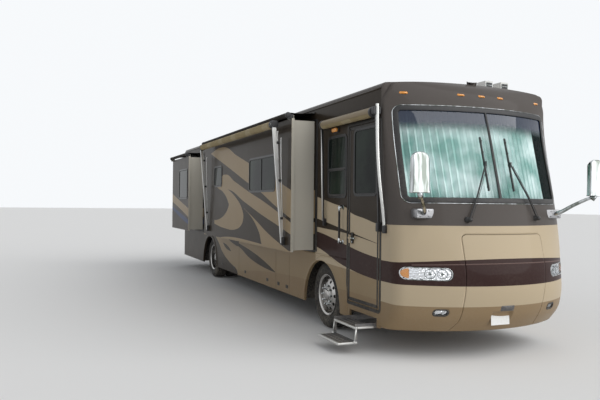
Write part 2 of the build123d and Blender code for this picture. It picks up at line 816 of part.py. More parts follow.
def front_rim(side):
    """A steer wheel: disc bulging outboard, hub with its cap, and the brake drum inside the barrel."""
    outlines = [barrel_outline(rim_half), disc_outline(front_face, front_dish), hub_cap_outline(), drum_outline()]
    with BuildPart() as rim:
        for outline in outlines:
            with BuildSketch(wheel_plane(front_axle_x, track_half, side)):
                add(outline)
            revolve(axis=axle_line(front_axle_x))
        hole_origin = (front_axle_x, side * (track_half + hand_hole_start), axle_z)
        hole_plane = Plane(origin=hole_origin, x_dir=(1, 0, 0), z_dir=(0, side, 0))
        with BuildSketch(hole_plane):
            with PolarLocations(hand_hole_circle, hand_holes):
                Circle(hand_hole_radius)
        extrude(amount=front_face - hand_hole_start + 5, mode=Mode.SUBTRACT)
    return rim.part


rear_outer_y = track_half
rear_inner_y = track_half - dual_spacing
rear_hub_radius = 150
rear_hub_reach = 85
axle_tube_radius = 62


def rear_rims(side):
    """Twin wheels bolted disc to disc on one hub, whose cap stands out through the dished outer wheel."""
    middle = (rear_outer_y + rear_inner_y) / 2
    with BuildPart() as rims:
        with BuildSketch(wheel_plane(rear_axle_x, rear_outer_y, side)):
            add(barrel_outline(rim_half))
        revolve(axis=axle_line(rear_axle_x))
        with BuildSketch(wheel_plane(rear_axle_x, rear_inner_y, side)):
            add(barrel_outline(rim_half))
        revolve(axis=axle_line(rear_axle_x))
        with BuildSketch(wheel_plane(rear_axle_x, middle, side)):
            with BuildLine():
                Polyline(
                    (axle_tube_radius + running_gap, -disc_thickness),
                    (165, -disc_thickness),
                    (225, -dual_spacing / 2 + rim_half - 50),
                    (barrel_radius + 3, -dual_spacing / 2 + rim_half - 30),
                    (barrel_radius + 3, -dual_spacing / 2 + rim_half - 12),
                    (235, -dual_spacing / 2 + rim_half - 30),
                    (185, 0),
                    (235, dual_spacing / 2 - rim_half + 30),
                    (barrel_radius + 3, dual_spacing / 2 - rim_half + 12),
                    (barrel_radius + 3, dual_spacing / 2 - rim_half + 30),
                    (225, dual_spacing / 2 - rim_half + 50),
                    (165, disc_thickness),
                    (axle_tube_radius + running_gap, disc_thickness),
                    close=True,
                )
            make_face()
        revolve(axis=axle_line(rear_axle_x))
        with BuildSketch(wheel_plane(rear_axle_x, middle, side)):
            with BuildLine():
                Polyline(
                    (0, disc_thickness),
                    (rear_hub_radius, disc_thickness),
                    (rear_hub_radius, 60),
                    (105, 75),
                    (95, dual_spacing / 2 + rear_hub_reach - 20),
                    (75, dual_spacing / 2 + rear_hub_reach),
                    (0, dual_spacing / 2 + rear_hub_reach),
                    close=True,
                )
            make_face()
        revolve(axis=axle_line(rear_axle_x))
    return rims.part


for side_name, side in SIDES.items():
    save(tyre(front_axle_x, track_half, side), f"tyre_front_{side_name}")
    save(front_rim(side), f"rim_front_{side_name}")
    with BuildPart() as twin_tyres:
        add(tyre(rear_axle_x, rear_outer_y, side))
        add(tyre(rear_axle_x, rear_inner_y, side))
    save(twin_tyres.part, f"tyres_rear_{side_name}")
    save(rear_rims(side), f"rims_rear_{side_name}")

# Front axle: a dropped beam between the kingpins; each knuckle's yoke holds it and carries the spindle
beam_half_height = 48
yoke_gap = 6
yoke_thickness = 26
yoke_half = 55
spindle_end = track_half + front_face - disc_thickness - 6
with BuildPart() as front_axle:
    with BuildSketch(Plane.XZ.offset(-(kingpin_y - 90))):
        with Locations((front_axle_x, axle_z - 60)):
            Rectangle(110, 96)
            with Locations((-35, 0), (35, 0)):
                Rectangle(40, 60, mode=Mode.SUBTRACT)
    extrude(amount=2 * (kingpin_y - 90))
    for side in (RIGHT, LEFT):
        with BuildSketch(Plane.XY.offset(axle_z - beam_half_height)):
            with Locations((front_axle_x, side * kingpin_y)):
                Circle(50)
            with Locations((front_axle_x, side * (kingpin_y - 60))):
                Rectangle(100, 120)
        extrude(amount=2 * beam_half_height)
        with BuildSketch(Plane.XY.offset(axle_z - beam_half_height)):
            with Locations((front_axle_x, side * kingpin_y)):
                Circle(kingpin_radius + running_gap)
        extrude(amount=2 * beam_half_height, mode=Mode.SUBTRACT)
    for side in (RIGHT, LEFT):
        seat_x = (front_axle_x - 50, front_axle_x + 50)
        side_box(side, seat_x, (rail_y - 90, rail_y - 10), (axle_z - 15, bulkhead_top_z))
save(front_axle.part, "front_axle")


def knuckle(side):
    top_z = axle_z + beam_half_height + yoke_gap
    low_z = axle_z - beam_half_height - yoke_gap
    with BuildPart() as part:
        for arm_z in (top_z, low_z - yoke_thickness):
            with BuildSketch(Plane.XY.offset(arm_z)):
                with Locations((front_axle_x, side * kingpin_y)):
                    Circle(yoke_half)
                with Locations((front_axle_x, side * (kingpin_y + 45))):
                    Rectangle(2 * yoke_half, 90)
            extrude(amount=yoke_thickness)
        web_x = (front_axle_x - yoke_half, front_axle_x + yoke_half)
        side_box(side, web_x, (kingpin_y + 60, kingpin_y + 90), (low_z, top_z))
        with BuildSketch(Plane.XY.offset(low_z - yoke_thickness - 10)):
            with Locations((front_axle_x, side * kingpin_y)):
                Circle(kingpin_radius)
        extrude(amount=top_z - low_z + 2 * yoke_thickness + 20)
        with BuildSketch(wheel_plane(front_axle_x, 0, side)):
            with Locations((spindle_radius / 2, (kingpin_y + 60 + spindle_end) / 2)):
                Rectangle(spindle_radius, spindle_end - kingpin_y - 60)
        revolve(axis=axle_line(front_axle_x))
    return part.part


for side_name, side in SIDES.items():
    save(knuckle(side), f"knuckle_{side_name}")

# Rear axle: housing with its differential, ending in the tubes that the hubs turn on
axle_tube_end = (rear_outer_y + rear_inner_y) / 2 + disc_thickness - 4
differential_radius = 215
with BuildPart() as rear_axle:
    with BuildSketch(wheel_plane(rear_axle_x, 0, LEFT)):
        with BuildLine():
            Polyline(
                (85, 260),
                (85, 560),
                (axle_tube_radius, 590),
                (axle_tube_radius, axle_tube_end),
                (0, axle_tube_end),
                (0, -axle_tube_end),
                (axle_tube_radius, -axle_tube_end),
                (axle_tube_radius, -590),
                (85, -560),
                (85, -260),
            )
            ThreePointArc((85, -260), (differential_radius, 0), (85, 260))
        make_face()
    revolve(axis=axle_line(rear_axle_x))
    for side in (RIGHT, LEFT):
        seat_x = (rear_axle_x - 60, rear_axle_x + 60)
        side_box(side, seat_x, (rail_y - 90, rail_y - 10), (axle_z + 60, bulkhead_top_z))
save(rear_axle.part, "rear_axle")

# Patio awning, rolled up, on the outer face of the right main room
awning_roller_radius = 55
awning_x = (front_room_x[0] + 445, front_room_x[1] - 265)
awning_foot_y = half_width + room_right_reach
awning_roller_y = awning_foot_y + 185
awning_roller_z = front_room_z[1] - 50
awning_foot_z = 1210
awning_arm = (44, 34)
with BuildPart() as patio_awning:
    with BuildSketch(Plane.YZ.offset(awning_x[0])):
        with Locations((-awning_roller_y, awning_roller_z)):
            Circle(awning_roller_radius)
    extrude(amount=awning_x[1] - awning_x[0])
    for arm_x in (awning_x[0] - awning_arm[0], awning_x[1]):
        with BuildSketch(Plane.YZ.offset(arm_x)):
            with BuildLine():
                Polyline(
                    (-awning_foot_y, awning_foot_z),
                    (-awning_foot_y, awning_foot_z + 90),
                    (-awning_foot_y - 30, awning_foot_z + 90),
                    (-awning_roller_y + 20, awning_roller_z + 30),
                    (-awning_roller_y - 35, awning_roller_z + 30),
                    (-awning_foot_y - 55, awning_foot_z),
                    close=True,
                )
            make_face()
        extrude(amount=awning_arm[0])
save(patio_awning.part, "patio_awning")

# Door awning, rolled up in its case above the entry door
door_awning_x = (door_rear_x - 725, cap_joint_x - 45)
door_awning_y = half_width + 72
door_awning_z = 3000
door_awning_radius = 58
door_arm_width = 26
door_arm_foot_z = 1540
door_arm_foot = (38, 80)
with BuildPart() as door_awning:
    with BuildSketch(Plane.YZ.offset(door_awning_x[0])):
        with Locations((-door_awning_y, door_awning_z)):
            Circle(door_awning_radius)
        with Locations((-(half_width + door_awning_y) / 2, door_awning_z)):
            Rectangle(door_awning_y - half_width, 60)
    extrude(amount=door_awning_x[1] - door_awning_x[0])
    for arm_x in (door_awning_x[0] - door_arm_width, cap_joint_x + 8):
        with BuildSketch(Plane.YZ.offset(arm_x)):
            with BuildLine():
                Polyline(
                    (-half_width, door_arm_foot_z),
                    (-half_width, door_arm_foot_z + door_arm_foot[1]),
                    (-half_width - door_arm_foot[0] + 8, door_arm_foot_z + door_arm_foot[1] + 20),
                    (-door_awning_y + 10, door_awning_z),
                    (-door_awning_y - 25, door_awning_z),
                    (-half_width - door_arm_foot[0], door_arm_foot_z),
                    close=True,
                )
            make_face()
        extrude(amount=door_arm_width)
    pin_y = (-door_awning_y - 20, -door_awning_y + 20)
    span_box((door_awning_x[1], cap_joint_x + 8), pin_y, (door_awning_z - 20, door_awning_z + 20))
save(door_awning.part, "door_awning")

# Grab handle behind the entry door
grab_x = door_rear_x - 165
grab_z = (1310, 1820)
grab_radius = 15
grab_out = 60
with BuildPart() as grab_handle:
    with BuildLine() as grab_path:
        FilletPolyline(
            (grab_x, -half_width, grab_z[0]),
            (grab_x, -half_width - grab_out, grab_z[0]),
            (grab_x, -half_width - grab_out, grab_z[1]),
            (grab_x, -half_width, grab_z[1]),
            radius=40,
        )
    with BuildSketch(Plane.XZ.offset(half_width)):
        with Locations((grab_x, grab_z[0])):
            Circle(grab_radius)
    sweep(path=grab_path.line)
save(grab_handle.part, "grab_handle")

# Mirrors: a bracket on the mask below the windshield, a bent arm forward and the head
mirror_base_y = half_width - 304
mirror_base_z = 1750
mirror_base_x = front_x(mirror_base_y, mirror_base_z)
mirror_base_size = (240, 110)
mirror_head = (cap_joint_x + 915, half_width + 20, 2211)
mirror_size = (85, 240, 456)


def mirror_set(side):
    with BuildPart() as part:
        base_y = (mirror_base_y - mirror_base_size[0] / 2, mirror_base_y + mirror_base_size[0] / 2)
        base_z = (mirror_base_z - mirror_base_size[1] / 2, mirror_base_z + mirror_base_size[1] / 2)
        side_box(side, (mirror_base_x - 150, mirror_base_x + 55), base_y, base_z)
        add(outer_front, mode=Mode.SUBTRACT)
        with BuildLine() as arm_path:
            FilletPolyline(
                (mirror_base_x + 30, side * mirror_base_y, mirror_base_z),
                (mirror_base_x + 130, side * (mirror_base_y + 60), mirror_base_z + 20),
                (mirror_head[0], side * mirror_head[1], mirror_head[2] - 200),
                radius=60,
            )
        with BuildSketch(Plane(origin=arm_path.line @ 0, z_dir=arm_path.line % 0)):
            Circle(20)
        sweep(path=arm_path.line)
        with Locations((mirror_head[0], side * mirror_head[1], mirror_head[2])):
            head = Box(*mirror_size)
        fillet(head.edges().filter_by(Axis.X), 45)
    return part.part


with BuildPart() as mirrors:
    for side in (RIGHT, LEFT):
        add(mirror_set(side))
save(mirrors.part, "mirrors")

# Wipers: pivot on the mask below the glass, arm, and a blade that lies along the glass
wiper_rows = [
    # pivot_y, pivot_z, blade_y
    (-490, 1680, -170),
    (550, 1700, 210),
]
blade_z = (2030, 2690)
blade_off = 24
wiper_arm_off = 50
wiper_pivot_off = 36
with BuildPart() as wipers:
    for pivot_y, pivot_z, blade_y in wiper_rows:
        middle_z = (blade_z[0] + blade_z[1]) / 2
        pivot = (front_x(pivot_y, pivot_z) + wiper_pivot_off, pivot_y, pivot_z)
        elbow = (front_x(blade_y, middle_z) + wiper_arm_off, blade_y, middle_z)
        with BuildSketch(Plane.YZ.offset(pivot[0] - wiper_pivot_off - 20)):
            with Locations((pivot_y, pivot_z)):
                Circle(24)
        extrude(amount=wiper_pivot_off + 34)
        knee_y = pivot_y + 0.35 * (blade_y - pivot_y)
        knee_z = pivot_z + 0.35 * (middle_z - pivot_z)
        knee = (front_x(knee_y, knee_z) + wiper_arm_off, knee_y, knee_z)
        with BuildLine() as arm_path:
            FilletPolyline(pivot, knee, elbow, radius=200)
        with BuildSketch(Plane(origin=arm_path.line @ 0, z_dir=arm_path.line % 0)):
            Circle(10)
        sweep(path=arm_path.line)
        low = (front_x(blade_y, blade_z[0]) + blade_off, blade_y, blade_z[0])
        high = (front_x(blade_y, blade_z[1]) + blade_off, blade_y, blade_z[1])
        with BuildLine() as blade_path:
            Line(low, high)
        with BuildSketch(Plane(origin=low, x_dir=(0, 1, 0), z_dir=blade_path.line % 0)):
            Rectangle(14, 24)
        sweep(path=blade_path.line)
        with Locations((elbow[0] - 12, blade_y, middle_z)):
            Box(40, 20, 60)
    add(outer_front, mode=Mode.SUBTRACT)
save(wipers.part, "wipers")

# Marker lamps along the front and rear edges of the roof, and the tail lamps
marker_size = (90, 110, 36)
marker_z = 3235
marker_row = [235 - half_width, -305, 0, 305, half_width - 235]
rear_marker_z = 3330
with BuildPart() as marker_lamps:
    for marker_y in marker_row:
        with Locations((front_x(marker_y, marker_z) - 20, marker_y, marker_z)):
            Box(*marker_size)
        with Locations((body_rear_x, marker_y, rear_marker_z)):
            Box(30, marker_size[1], marker_size[2])
    fillet(marker_lamps.edges().filter_by(Axis.Z), 12)
    add(outer_front, mode=Mode.SUBTRACT)
    add(rear_volume(0), mode=Mode.SUBTRACT)
save(marker_lamps.part, "marker_lamps")

tail_lamp_y = half_width - 235
tail_lamp_z = 1080
tail_lamp_size = (60, 120, 420)
with BuildPart() as tail_lamps:
    with Locations((body_rear_x, -tail_lamp_y, tail_lamp_z), (body_rear_x, tail_lamp_y, tail_lamp_z)):
        Box(*tail_lamp_size)
    fillet(tail_lamps.edges().filter_by(Axis.X), 30)
    add(rear_volume(0), mode=Mode.SUBTRACT)
save(tail_lamps.part, "tail_lamps")

with BuildPart() as hitch_receiver:
    with BuildSketch(Plane.YZ.offset(receiver_end_x)):
        with Locations((0, receiver_z)):
            Rectangle(2 * receiver_half, 2 * receiver_half)
            Rectangle(receiver_bore, receiver_bore, mode=Mode.SUBTRACT)
    extrude(amount=350)
    with BuildSketch(Plane.XZ.offset(-receiver_half)):
        with Locations((pin_hole_x, receiver_z)):
            Circle(pin_hole_radius)
    extrude(amount=2 * receiver_half, mode=Mode.SUBTRACT)
    beam_x = (receiver_end_x + 200, receiver_end_x + 320)
    beam_z = receiver_z + receiver_half
    span_box(beam_x, (-rail_y, rail_y), (beam_z, beam_z + 60))
    for side in (RIGHT, LEFT):
        side_box(side, beam_x, (rail_y - 20, rail_y), (beam_z, bulkhead_top_z))
save(hitch_receiver.part, "hitch_receiver")

# Entry step: two treads on side links, drawn in below the stairwell
step_x = (door_rear_x + 185, door_rear_x + 785)
treads = [
    # outer edge, inner edge, top z
    (half_width + 285, half_width + 25, 330),
    (half_width + 515, half_width + 255, 150),
]
tread_sheet = 22
step_link_y = (half_width - 375, treads[0][0])
with BuildPart() as entry_step:
    for tread_outer, tread_inner, tread_z in treads:
        side_box(RIGHT, step_x, (tread_inner, tread_outer), (tread_z - tread_sheet, tread_z))
    for link_x in (step_x[0], step_x[1] - 12):
        link = (link_x, link_x + 12)
        side_box(RIGHT, link, (tread_inner, treads[0][0]), (treads[1][2] - tread_sheet, treads[0][2]))
        side_box(RIGHT, link, step_link_y, (treads[0][2] - tread_sheet, treads[0][2] + 40))
save(entry_step.part, "entry_step")

# Roof units: two low air conditioners and the roof vents
with BuildPart() as roof_units:
    for unit_x in (800, -4200):
        with BuildSketch(Plane.XY.offset(roof_crown_z - 20)):
            with Locations((unit_x, 0)):
                RectangleRounded(1050, 720, 90)
        with BuildSketch(Plane.XY.offset(roof_crown_z + 190)):
            with Locations((unit_x - 30, 0)):
                RectangleRounded(880, 600, 90)
        loft(ruled=True)
    for vent_x in (3300, -1400):
        with Locations((vent_x, 0, roof_crown_z + 20)):
            vent = Box(420, 420, 100)
        fillet(vent.edges().group_by(Axis.Z)[-1], 35)
    add(roof_shell.part, mode=Mode.SUBTRACT)
save(roof_units.part, "roof_units")

# Roof horns with the antenna between them
horn_x = cap_joint_x - 455
horn_row = [half_width - 615, half_width - 345]
horn_z = (roof_edge_z + 10, roof_edge_z + 230)
with BuildPart() as roof_horns:
    for horn_y in horn_row:
        span_box((horn_x - 90, horn_x + 90), (horn_y - 65, horn_y + 65), horn_z)
    with BuildSketch(Plane.XY.offset(horn_z[0])):
        with Locations((horn_x - 90, (horn_row[0] + horn_row[1]) / 2)):
            Circle(4)
    extrude(amount=270)
    add(roof_shell.part, mode=Mode.SUBTRACT)
save(roof_horns.part, "roof_horns")
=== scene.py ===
import bmesh
import bpy
import numpy as np
from mathutils import Matrix


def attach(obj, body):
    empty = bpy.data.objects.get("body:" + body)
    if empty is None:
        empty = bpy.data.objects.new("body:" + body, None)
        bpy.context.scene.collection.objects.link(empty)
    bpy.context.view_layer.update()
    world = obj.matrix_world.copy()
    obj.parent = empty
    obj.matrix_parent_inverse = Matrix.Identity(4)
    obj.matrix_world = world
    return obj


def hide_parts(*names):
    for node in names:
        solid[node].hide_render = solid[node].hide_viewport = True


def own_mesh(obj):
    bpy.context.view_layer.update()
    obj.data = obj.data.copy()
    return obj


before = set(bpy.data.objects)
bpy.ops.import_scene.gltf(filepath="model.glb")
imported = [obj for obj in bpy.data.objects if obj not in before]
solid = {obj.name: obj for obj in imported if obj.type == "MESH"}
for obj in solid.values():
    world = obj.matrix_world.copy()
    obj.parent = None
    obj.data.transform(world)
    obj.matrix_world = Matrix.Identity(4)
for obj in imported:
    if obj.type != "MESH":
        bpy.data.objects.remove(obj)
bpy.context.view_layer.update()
scene = bpy.context.scene

# Camera: a standing person's eye, 1.86 m up, ahead of the right front corner. The lens and the place come from a fit to
# the photograph.
eye = (12.2545, -5.1517, 1.8642)
yaw, pitch, roll = 0.3875, 0.0040, 0.0106
level = np.array([-np.cos(yaw), np.sin(yaw), 0.0])
right = np.array([np.sin(yaw), np.cos(yaw), 0.0])
up = np.array([0.0, 0.0, 1.0])
look = level * np.cos(pitch) + up * np.sin(pitch)
lift = up * np.cos(pitch) - level * np.sin(pitch)
across = right * np.cos(roll) + lift * np.sin(roll)
above = lift * np.cos(roll) - right * np.sin(roll)
camera_data = bpy.data.cameras.new("camera")
camera_data.lens = 37.89
camera_data.sensor_width = 36.0
camera_data.clip_end = 500.0
camera = bpy.data.objects.new("camera", camera_data)
turn = Matrix([across, above, -look]).transposed().to_4x4()
camera.matrix_world = Matrix.Translation(eye) @ turn
scene.collection.objects.link(camera)
scene.camera = camera
scene.view_settings.view_transform = "Standard"

# Light: one broad lamp high ahead of the vehicle on the driver's side, so the curb side lies in soft shade, a weak
# broad one on the curb side, and a pale sky. What the camera and mirrors see of the sky is nearly white.
for lamp_name, energy, spread, direction in (
    ("front light", 2.45, 1.3, (-0.80, -0.50, -0.62)),
    ("curb light", 0.16, 1.2, (-0.15, 0.85, -0.35)),
):
    lamp_data = bpy.data.lights.new(lamp_name, "SUN")
    lamp_data.energy = energy
    lamp_data.angle = spread
    lamp = bpy.data.objects.new(lamp_name, lamp_data)
    aim = np.array(direction) / np.linalg.norm(direction)
    side_axis = np.cross(up, -aim)
    side_axis /= np.linalg.norm(side_axis)
    lamp.matrix_world = Matrix([side_axis, np.cross(-aim, side_axis), -aim]).transposed().to_4x4()
    scene.collection.objects.link(lamp)


def add_node(tree, kind, values=(), **settings):
    """A node with its settings, and its inputs filled from (socket, value or another node's output) pairs."""
    made = tree.nodes.new("ShaderNode" + kind)
    for key, value in settings.items():
        setattr(made, key, value)
    for socket, value in values:
        if isinstance(value, bpy.types.NodeSocket):
            tree.links.new(value, made.inputs[socket])
        else:
            made.inputs[socket].default_value = value
    return made


def calc(tree, operation, first, second=0.0):
    """The output of one Math node."""
    return add_node(tree, "Math", [(0, first), (1, second)], operation=operation).outputs[0]


world = bpy.data.worlds.new("studio")
scene.world = world
world.use_nodes = True
sky = world.node_tree
sky.nodes.clear()
seen_sky = add_node(sky, "Background", [("Color", (0.93, 0.95, 0.97, 1))]).outputs[0]
sky_light = add_node(sky, "Background", [("Color", (0.90, 0.94, 1.0, 1)), ("Strength", 0.42)]).outputs[0]
rays = add_node(sky, "LightPath").outputs
straight_ray = calc(sky, "MAXIMUM", rays["Is Camera Ray"], rays["Is Transmission Ray"])
seen_ray = calc(sky, "MAXIMUM", straight_ray, rays["Is Glossy Ray"])
sky_shader = add_node(sky, "MixShader", [("Fac", seen_ray), (1, sky_light), (2, seen_sky)]).outputs[0]
add_node(sky, "OutputWorld", [("Surface", sky_shader)])


# Floor: a plain pale ground that takes the vehicle's shadow.
def material(name, colour, roughness, metallic=0.0, coat=0.0, coat_roughness=0.04, specular=0.5):
    """A material with a Principled BSDF whose plain values sit on its own sockets."""
    made = bpy.data.materials.new(name)
    made.use_nodes = True
    shader = made.node_tree.nodes["Principled BSDF"]
    shader.inputs["Base Color"].default_value = (*colour, 1)
    shader.inputs["Roughness"].default_value = roughness
    shader.inputs["Metallic"].default_value = metallic
    shader.inputs["Coat Weight"].default_value = coat
    shader.inputs["Coat Roughness"].default_value = coat_roughness
    shader.inputs["Specular IOR Level"].default_value = specular
    return made


def points_of(x, y, z):
    """Points from their three coordinates; each is a number or an array, stretched to the shape of the others."""
    return np.stack(np.broadcast_arrays(x, y, z), -1)


def built_piece(name, points, quads, finish, body=None, smooth=True, replaces=None, slot=None):
    """One object from points and quads. Doubles are merged, points that no face uses are dropped and the normals of
    closed shapes are turned outwards. The piece rides on the body and stands in for the node that it replaces. slot is
    not used."""
    mesh = bpy.data.meshes.new(name)
    mesh.from_pydata(points.tolist(), [], quads.tolist())
    work = bmesh.new()
    work.from_mesh(mesh)
    bmesh.ops.remove_doubles(work, verts=work.verts, dist=2e-5)
    bmesh.ops.dissolve_degenerate(work, edges=work.edges, dist=1e-6)
    bmesh.ops.delete(work, geom=[v for v in work.verts if not v.link_faces], context="VERTS")
    bmesh.ops.recalc_face_normals(work, faces=work.faces)
    work.to_mesh(mesh)
    work.free()
    mesh.polygons.foreach_set("use_smooth", np.full(len(mesh.polygons), smooth))
    mesh.update()
    piece = bpy.data.objects.new(name, mesh)
    piece.data.materials.append(finish)
    scene.collection.objects.link(piece)
    if body:
        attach(piece, body)
    if replaces:
        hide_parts(replaces)
    return piece


def mesh_piece(name, grids, finish, body=None, **settings):
    """One object from grids of points. A grid is (points, round_u, round_v): points is rows by columns by 3, each four
    neighbours make a quad, and a round grid joins its last row or column to its first. A row drawn together to one
    point closes a pole."""
    points, quads, start = [], [], 0
    for grid, round_u, round_v in grids:
        rows, columns = grid.shape[:2]
        i, j = np.meshgrid(
            np.arange(rows if round_u else rows - 1), np.arange(columns if round_v else columns - 1), indexing="ij"
        )
        i_next, j_next = (i + 1) % rows, (j + 1) % columns
        corners = [i * columns + j, i_next * columns + j, i_next * columns + j_next, i * columns + j_next]
        quads.append(np.stack(corners, -1).reshape(-1, 4) + start)
        points.append(grid.reshape(-1, 3))
        start += rows * columns
    return built_piece(name, np.concatenate(points), np.concatenate(quads), finish, body, **settings)


ground_x, ground_y = np.meshgrid(np.linspace(-150, 60, 8), np.linspace(-100, 100, 8), indexing="ij")
ground_finish = material("ground", (0.80, 0.79, 0.77), 0.9, specular=0.1)
mesh_piece("ground", [(points_of(ground_x, ground_y, -0.001), False, False)], ground_finish)


# Shared effects: group nodes that several finishes take, each with its own values.
def place_of(tree):
    """Object coordinates, which are metres from the vehicle's origin."""
    return add_node(tree, "TexCoord").outputs["Object"]


def noise(tree, place, scale, detail):
    """A noise texture's value, 0 to 1."""
    return add_node(tree, "TexNoise", [("Vector", place), ("Scale", scale), ("Detail", detail)]).outputs["Fac"]


def ranged(tree, value, low, high):
    """0 at low, 1 at high and straight between them."""
    return add_node(tree, "MapRange", [(0, value), (1, low), (2, high)]).outputs[0]


def relief(tree, height, strength, distance):
    """The normal that a Bump node makes of a height."""
    values = [("Height", height), ("Strength", strength), ("Distance", distance)]
    return add_node(tree, "Bump", values).outputs[0]


def feed(tree, socket, value):
    """Links an output to a socket of a material's Principled BSDF."""
    tree.links.new(value, tree.nodes["Principled BSDF"].inputs[socket])


def mix(tree, share, first, second):
    """Colour first where share is 0, second where it is 1."""
    made = add_node(tree, "Mix", [(0, share), (6, first), (7, second)], data_type="RGBA")
    return made.outputs[2]


def effect(name, inputs, outputs):
    """A shader node group with named sockets, and its input and output nodes."""
    tree = bpy.data.node_groups.new(name, "ShaderNodeTree")
    for socket, kind, value in inputs:
        made = tree.interface.new_socket(name=socket, in_out="INPUT", socket_type="NodeSocket" + kind)
        made.default_value = value
    for socket, kind in outputs:
        tree.interface.new_socket(name=socket, in_out="OUTPUT", socket_type="NodeSocket" + kind)
    return tree, tree.nodes.new("NodeGroupInput").outputs, tree.nodes.new("NodeGroupOutput").inputs


def use(tree, group, **values):
    """Places a group in a material; values are numbers, colours or outputs, with _ for a space in a socket's name."""
    made = tree.nodes.new("ShaderNodeGroup")
    made.node_tree = group
    for key, value in values.items():
        socket = made.inputs[key.replace("_", " ")]
        if isinstance(value, bpy.types.NodeSocket):
            tree.links.new(value, socket)
        else:
            socket.default_value = value
    return made.outputs


# Road dust: a pale film that is densest low on the body, broken up by two sizes of noise.
dust, dust_in, dust_out = effect(
    "road dust",
    [("Color", "Color", (0.5, 0.5, 0.5, 1)), ("Amount", "Float", 0.2), ("Top", "Float", 1.2)],
    [("Color", "Color"), ("Mask", "Float")],
)
place = place_of(dust)
height = add_node(dust, "SeparateXYZ", [(0, place)]).outputs["Z"]
low_share = add_node(dust, "MapRange", [(0, height), (1, dust_in["Top"]), (2, 0.2), (3, 0.15), (4, 1.0)]).outputs[0]
coarse = noise(dust, place, 2.2, 6.0)
fine = noise(dust, place, 38.0, 3.0)
broken = add_node(dust, "MapRange", [(0, calc(dust, "MULTIPLY", coarse, fine)), (1, 0.18), (2, 0.42)]).outputs[0]
film = calc(dust, "MULTIPLY", calc(dust, "MULTIPLY", low_share, broken), dust_in["Amount"])
dust.links.new(mix(dust, film, dust_in["Color"], (0.42, 0.37, 0.30, 1)), dust_out["Color"])
dust.links.new(film, dust_out["Mask"])

# Grain: a fine height for a Bump node, and a roughness that wanders a little round its middle.
grain, grain_in, grain_out = effect(
    "fine grain",
    [("Scale", "Float", 400.0), ("Middle", "Float", 0.4), ("Spread", "Float", 0.1)],
    [("Height", "Float"), ("Roughness", "Float")],
)
grain_place = place_of(grain)
bumps = add_node(grain, "TexNoise", [("Vector", grain_place), ("Scale", grain_in["Scale"]), ("Detail", 2.0)])
blotches = add_node(grain, "TexNoise", [("Vector", grain_place), ("Scale", 3.0), ("Detail", 5.0)])
swing = calc(grain, "MULTIPLY", calc(grain, "SUBTRACT", blotches.outputs["Fac"], 0.5), grain_in["Spread"])
grain.links.new(bumps.outputs["Fac"], grain_out["Height"])
grain.links.new(calc(grain, "ADD", grain_in["Middle"], swing), grain_out["Roughness"])


def worn(made, colour, amount=0.15, top=1.2, scale=400.0, middle=0.4, spread=0.1, bump=0.05, distance=0.0004):
    """Adds road dust over a colour (a value or an output), wandering roughness and a fine bump to a material."""
    tree = made.node_tree
    filmed = use(tree, dust, Color=colour, Amount=amount, Top=top)
    grained = use(tree, grain, Scale=scale, Middle=middle, Spread=spread)
    feed(tree, "Base Color", filmed["Color"])
    feed(tree, "Roughness", calc(tree, "ADD", grained["Roughness"], calc(tree, "MULTIPLY", filmed["Mask"], 0.35)))
    if bump:
        feed(tree, "Normal", relief(tree, grained["Height"], bump, distance))
    return made


def worn_finish(name, colour, roughness, metallic=0.0, specular=0.5, **wear):
    """A plain material of one colour with its wear."""
    return worn(material(name, colour, roughness, metallic, specular=specular), (*colour, 1), **wear)


def dress(finish, *names):
    """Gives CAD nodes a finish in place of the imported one."""
    for name in names:
        data = solid[name].data
        data.materials.clear()
        data.materials.append(finish)


# Chassis: black-painted steel rails, axles and knuckles, the engine block and the hitch receiver, dulled by the road.
chassis_black = worn_finish(
    "chassis black", (0.022, 0.021, 0.02), 0.5, amount=0.5, top=1.6, scale=90, middle=0.55, spread=0.3, bump=0.3,
    distance=0.002
)
cast_grey = worn_finish(
    "cast grey", (0.10, 0.10, 0.105), 0.6, 0.6, amount=0.5, top=1.6, scale=120, middle=0.6, spread=0.2, bump=0.5,
    distance=0.002
)
dress(chassis_black, "chassis_frame", "front_axle", "rear_axle", "hitch_receiver")
dress(cast_grey, "engine_block", "knuckle_left", "knuckle_right")
well_black = worn_finish(
    "well liner", (0.016, 0.015, 0.014), 0.8, amount=0.4, top=1.2, scale=60, middle=0.85, spread=0.1, bump=0.6,
    distance=0.004
)
dress(well_black, "wheel_wells", "storage_bays")

# Tyres: 315/80 R 22.5 road tyres, one in front and twin ones behind, black rubber with four ribs' grooves round the
# tread and shallow notches along its shoulders.
def turned(profile, centre, side):
    """A profile of (radius, outboard) points turned about a wheel's axle: x = cx + r cos a, z = cz + r sin a and
    y = side * (cy + outboard). The shoulder is cut in by 7 mm over three tenths of each of its 48 pitches."""
    angle = np.linspace(0, 2 * np.pi, 240, endpoint=False)[:, None]
    radius, outboard = np.array(profile)[None, :, 0], np.array(profile)[None, :, 1]
    cut = ((angle * 48 / (2 * np.pi)) % 1 < 0.3) & (radius > 0.470) & (np.abs(outboard) > 0.082)
    radius = radius - 0.007 * cut
    y = side * (centre[1] + outboard)
    return points_of(centre[0] + radius * np.cos(angle), y, centre[2] + radius * np.sin(angle))


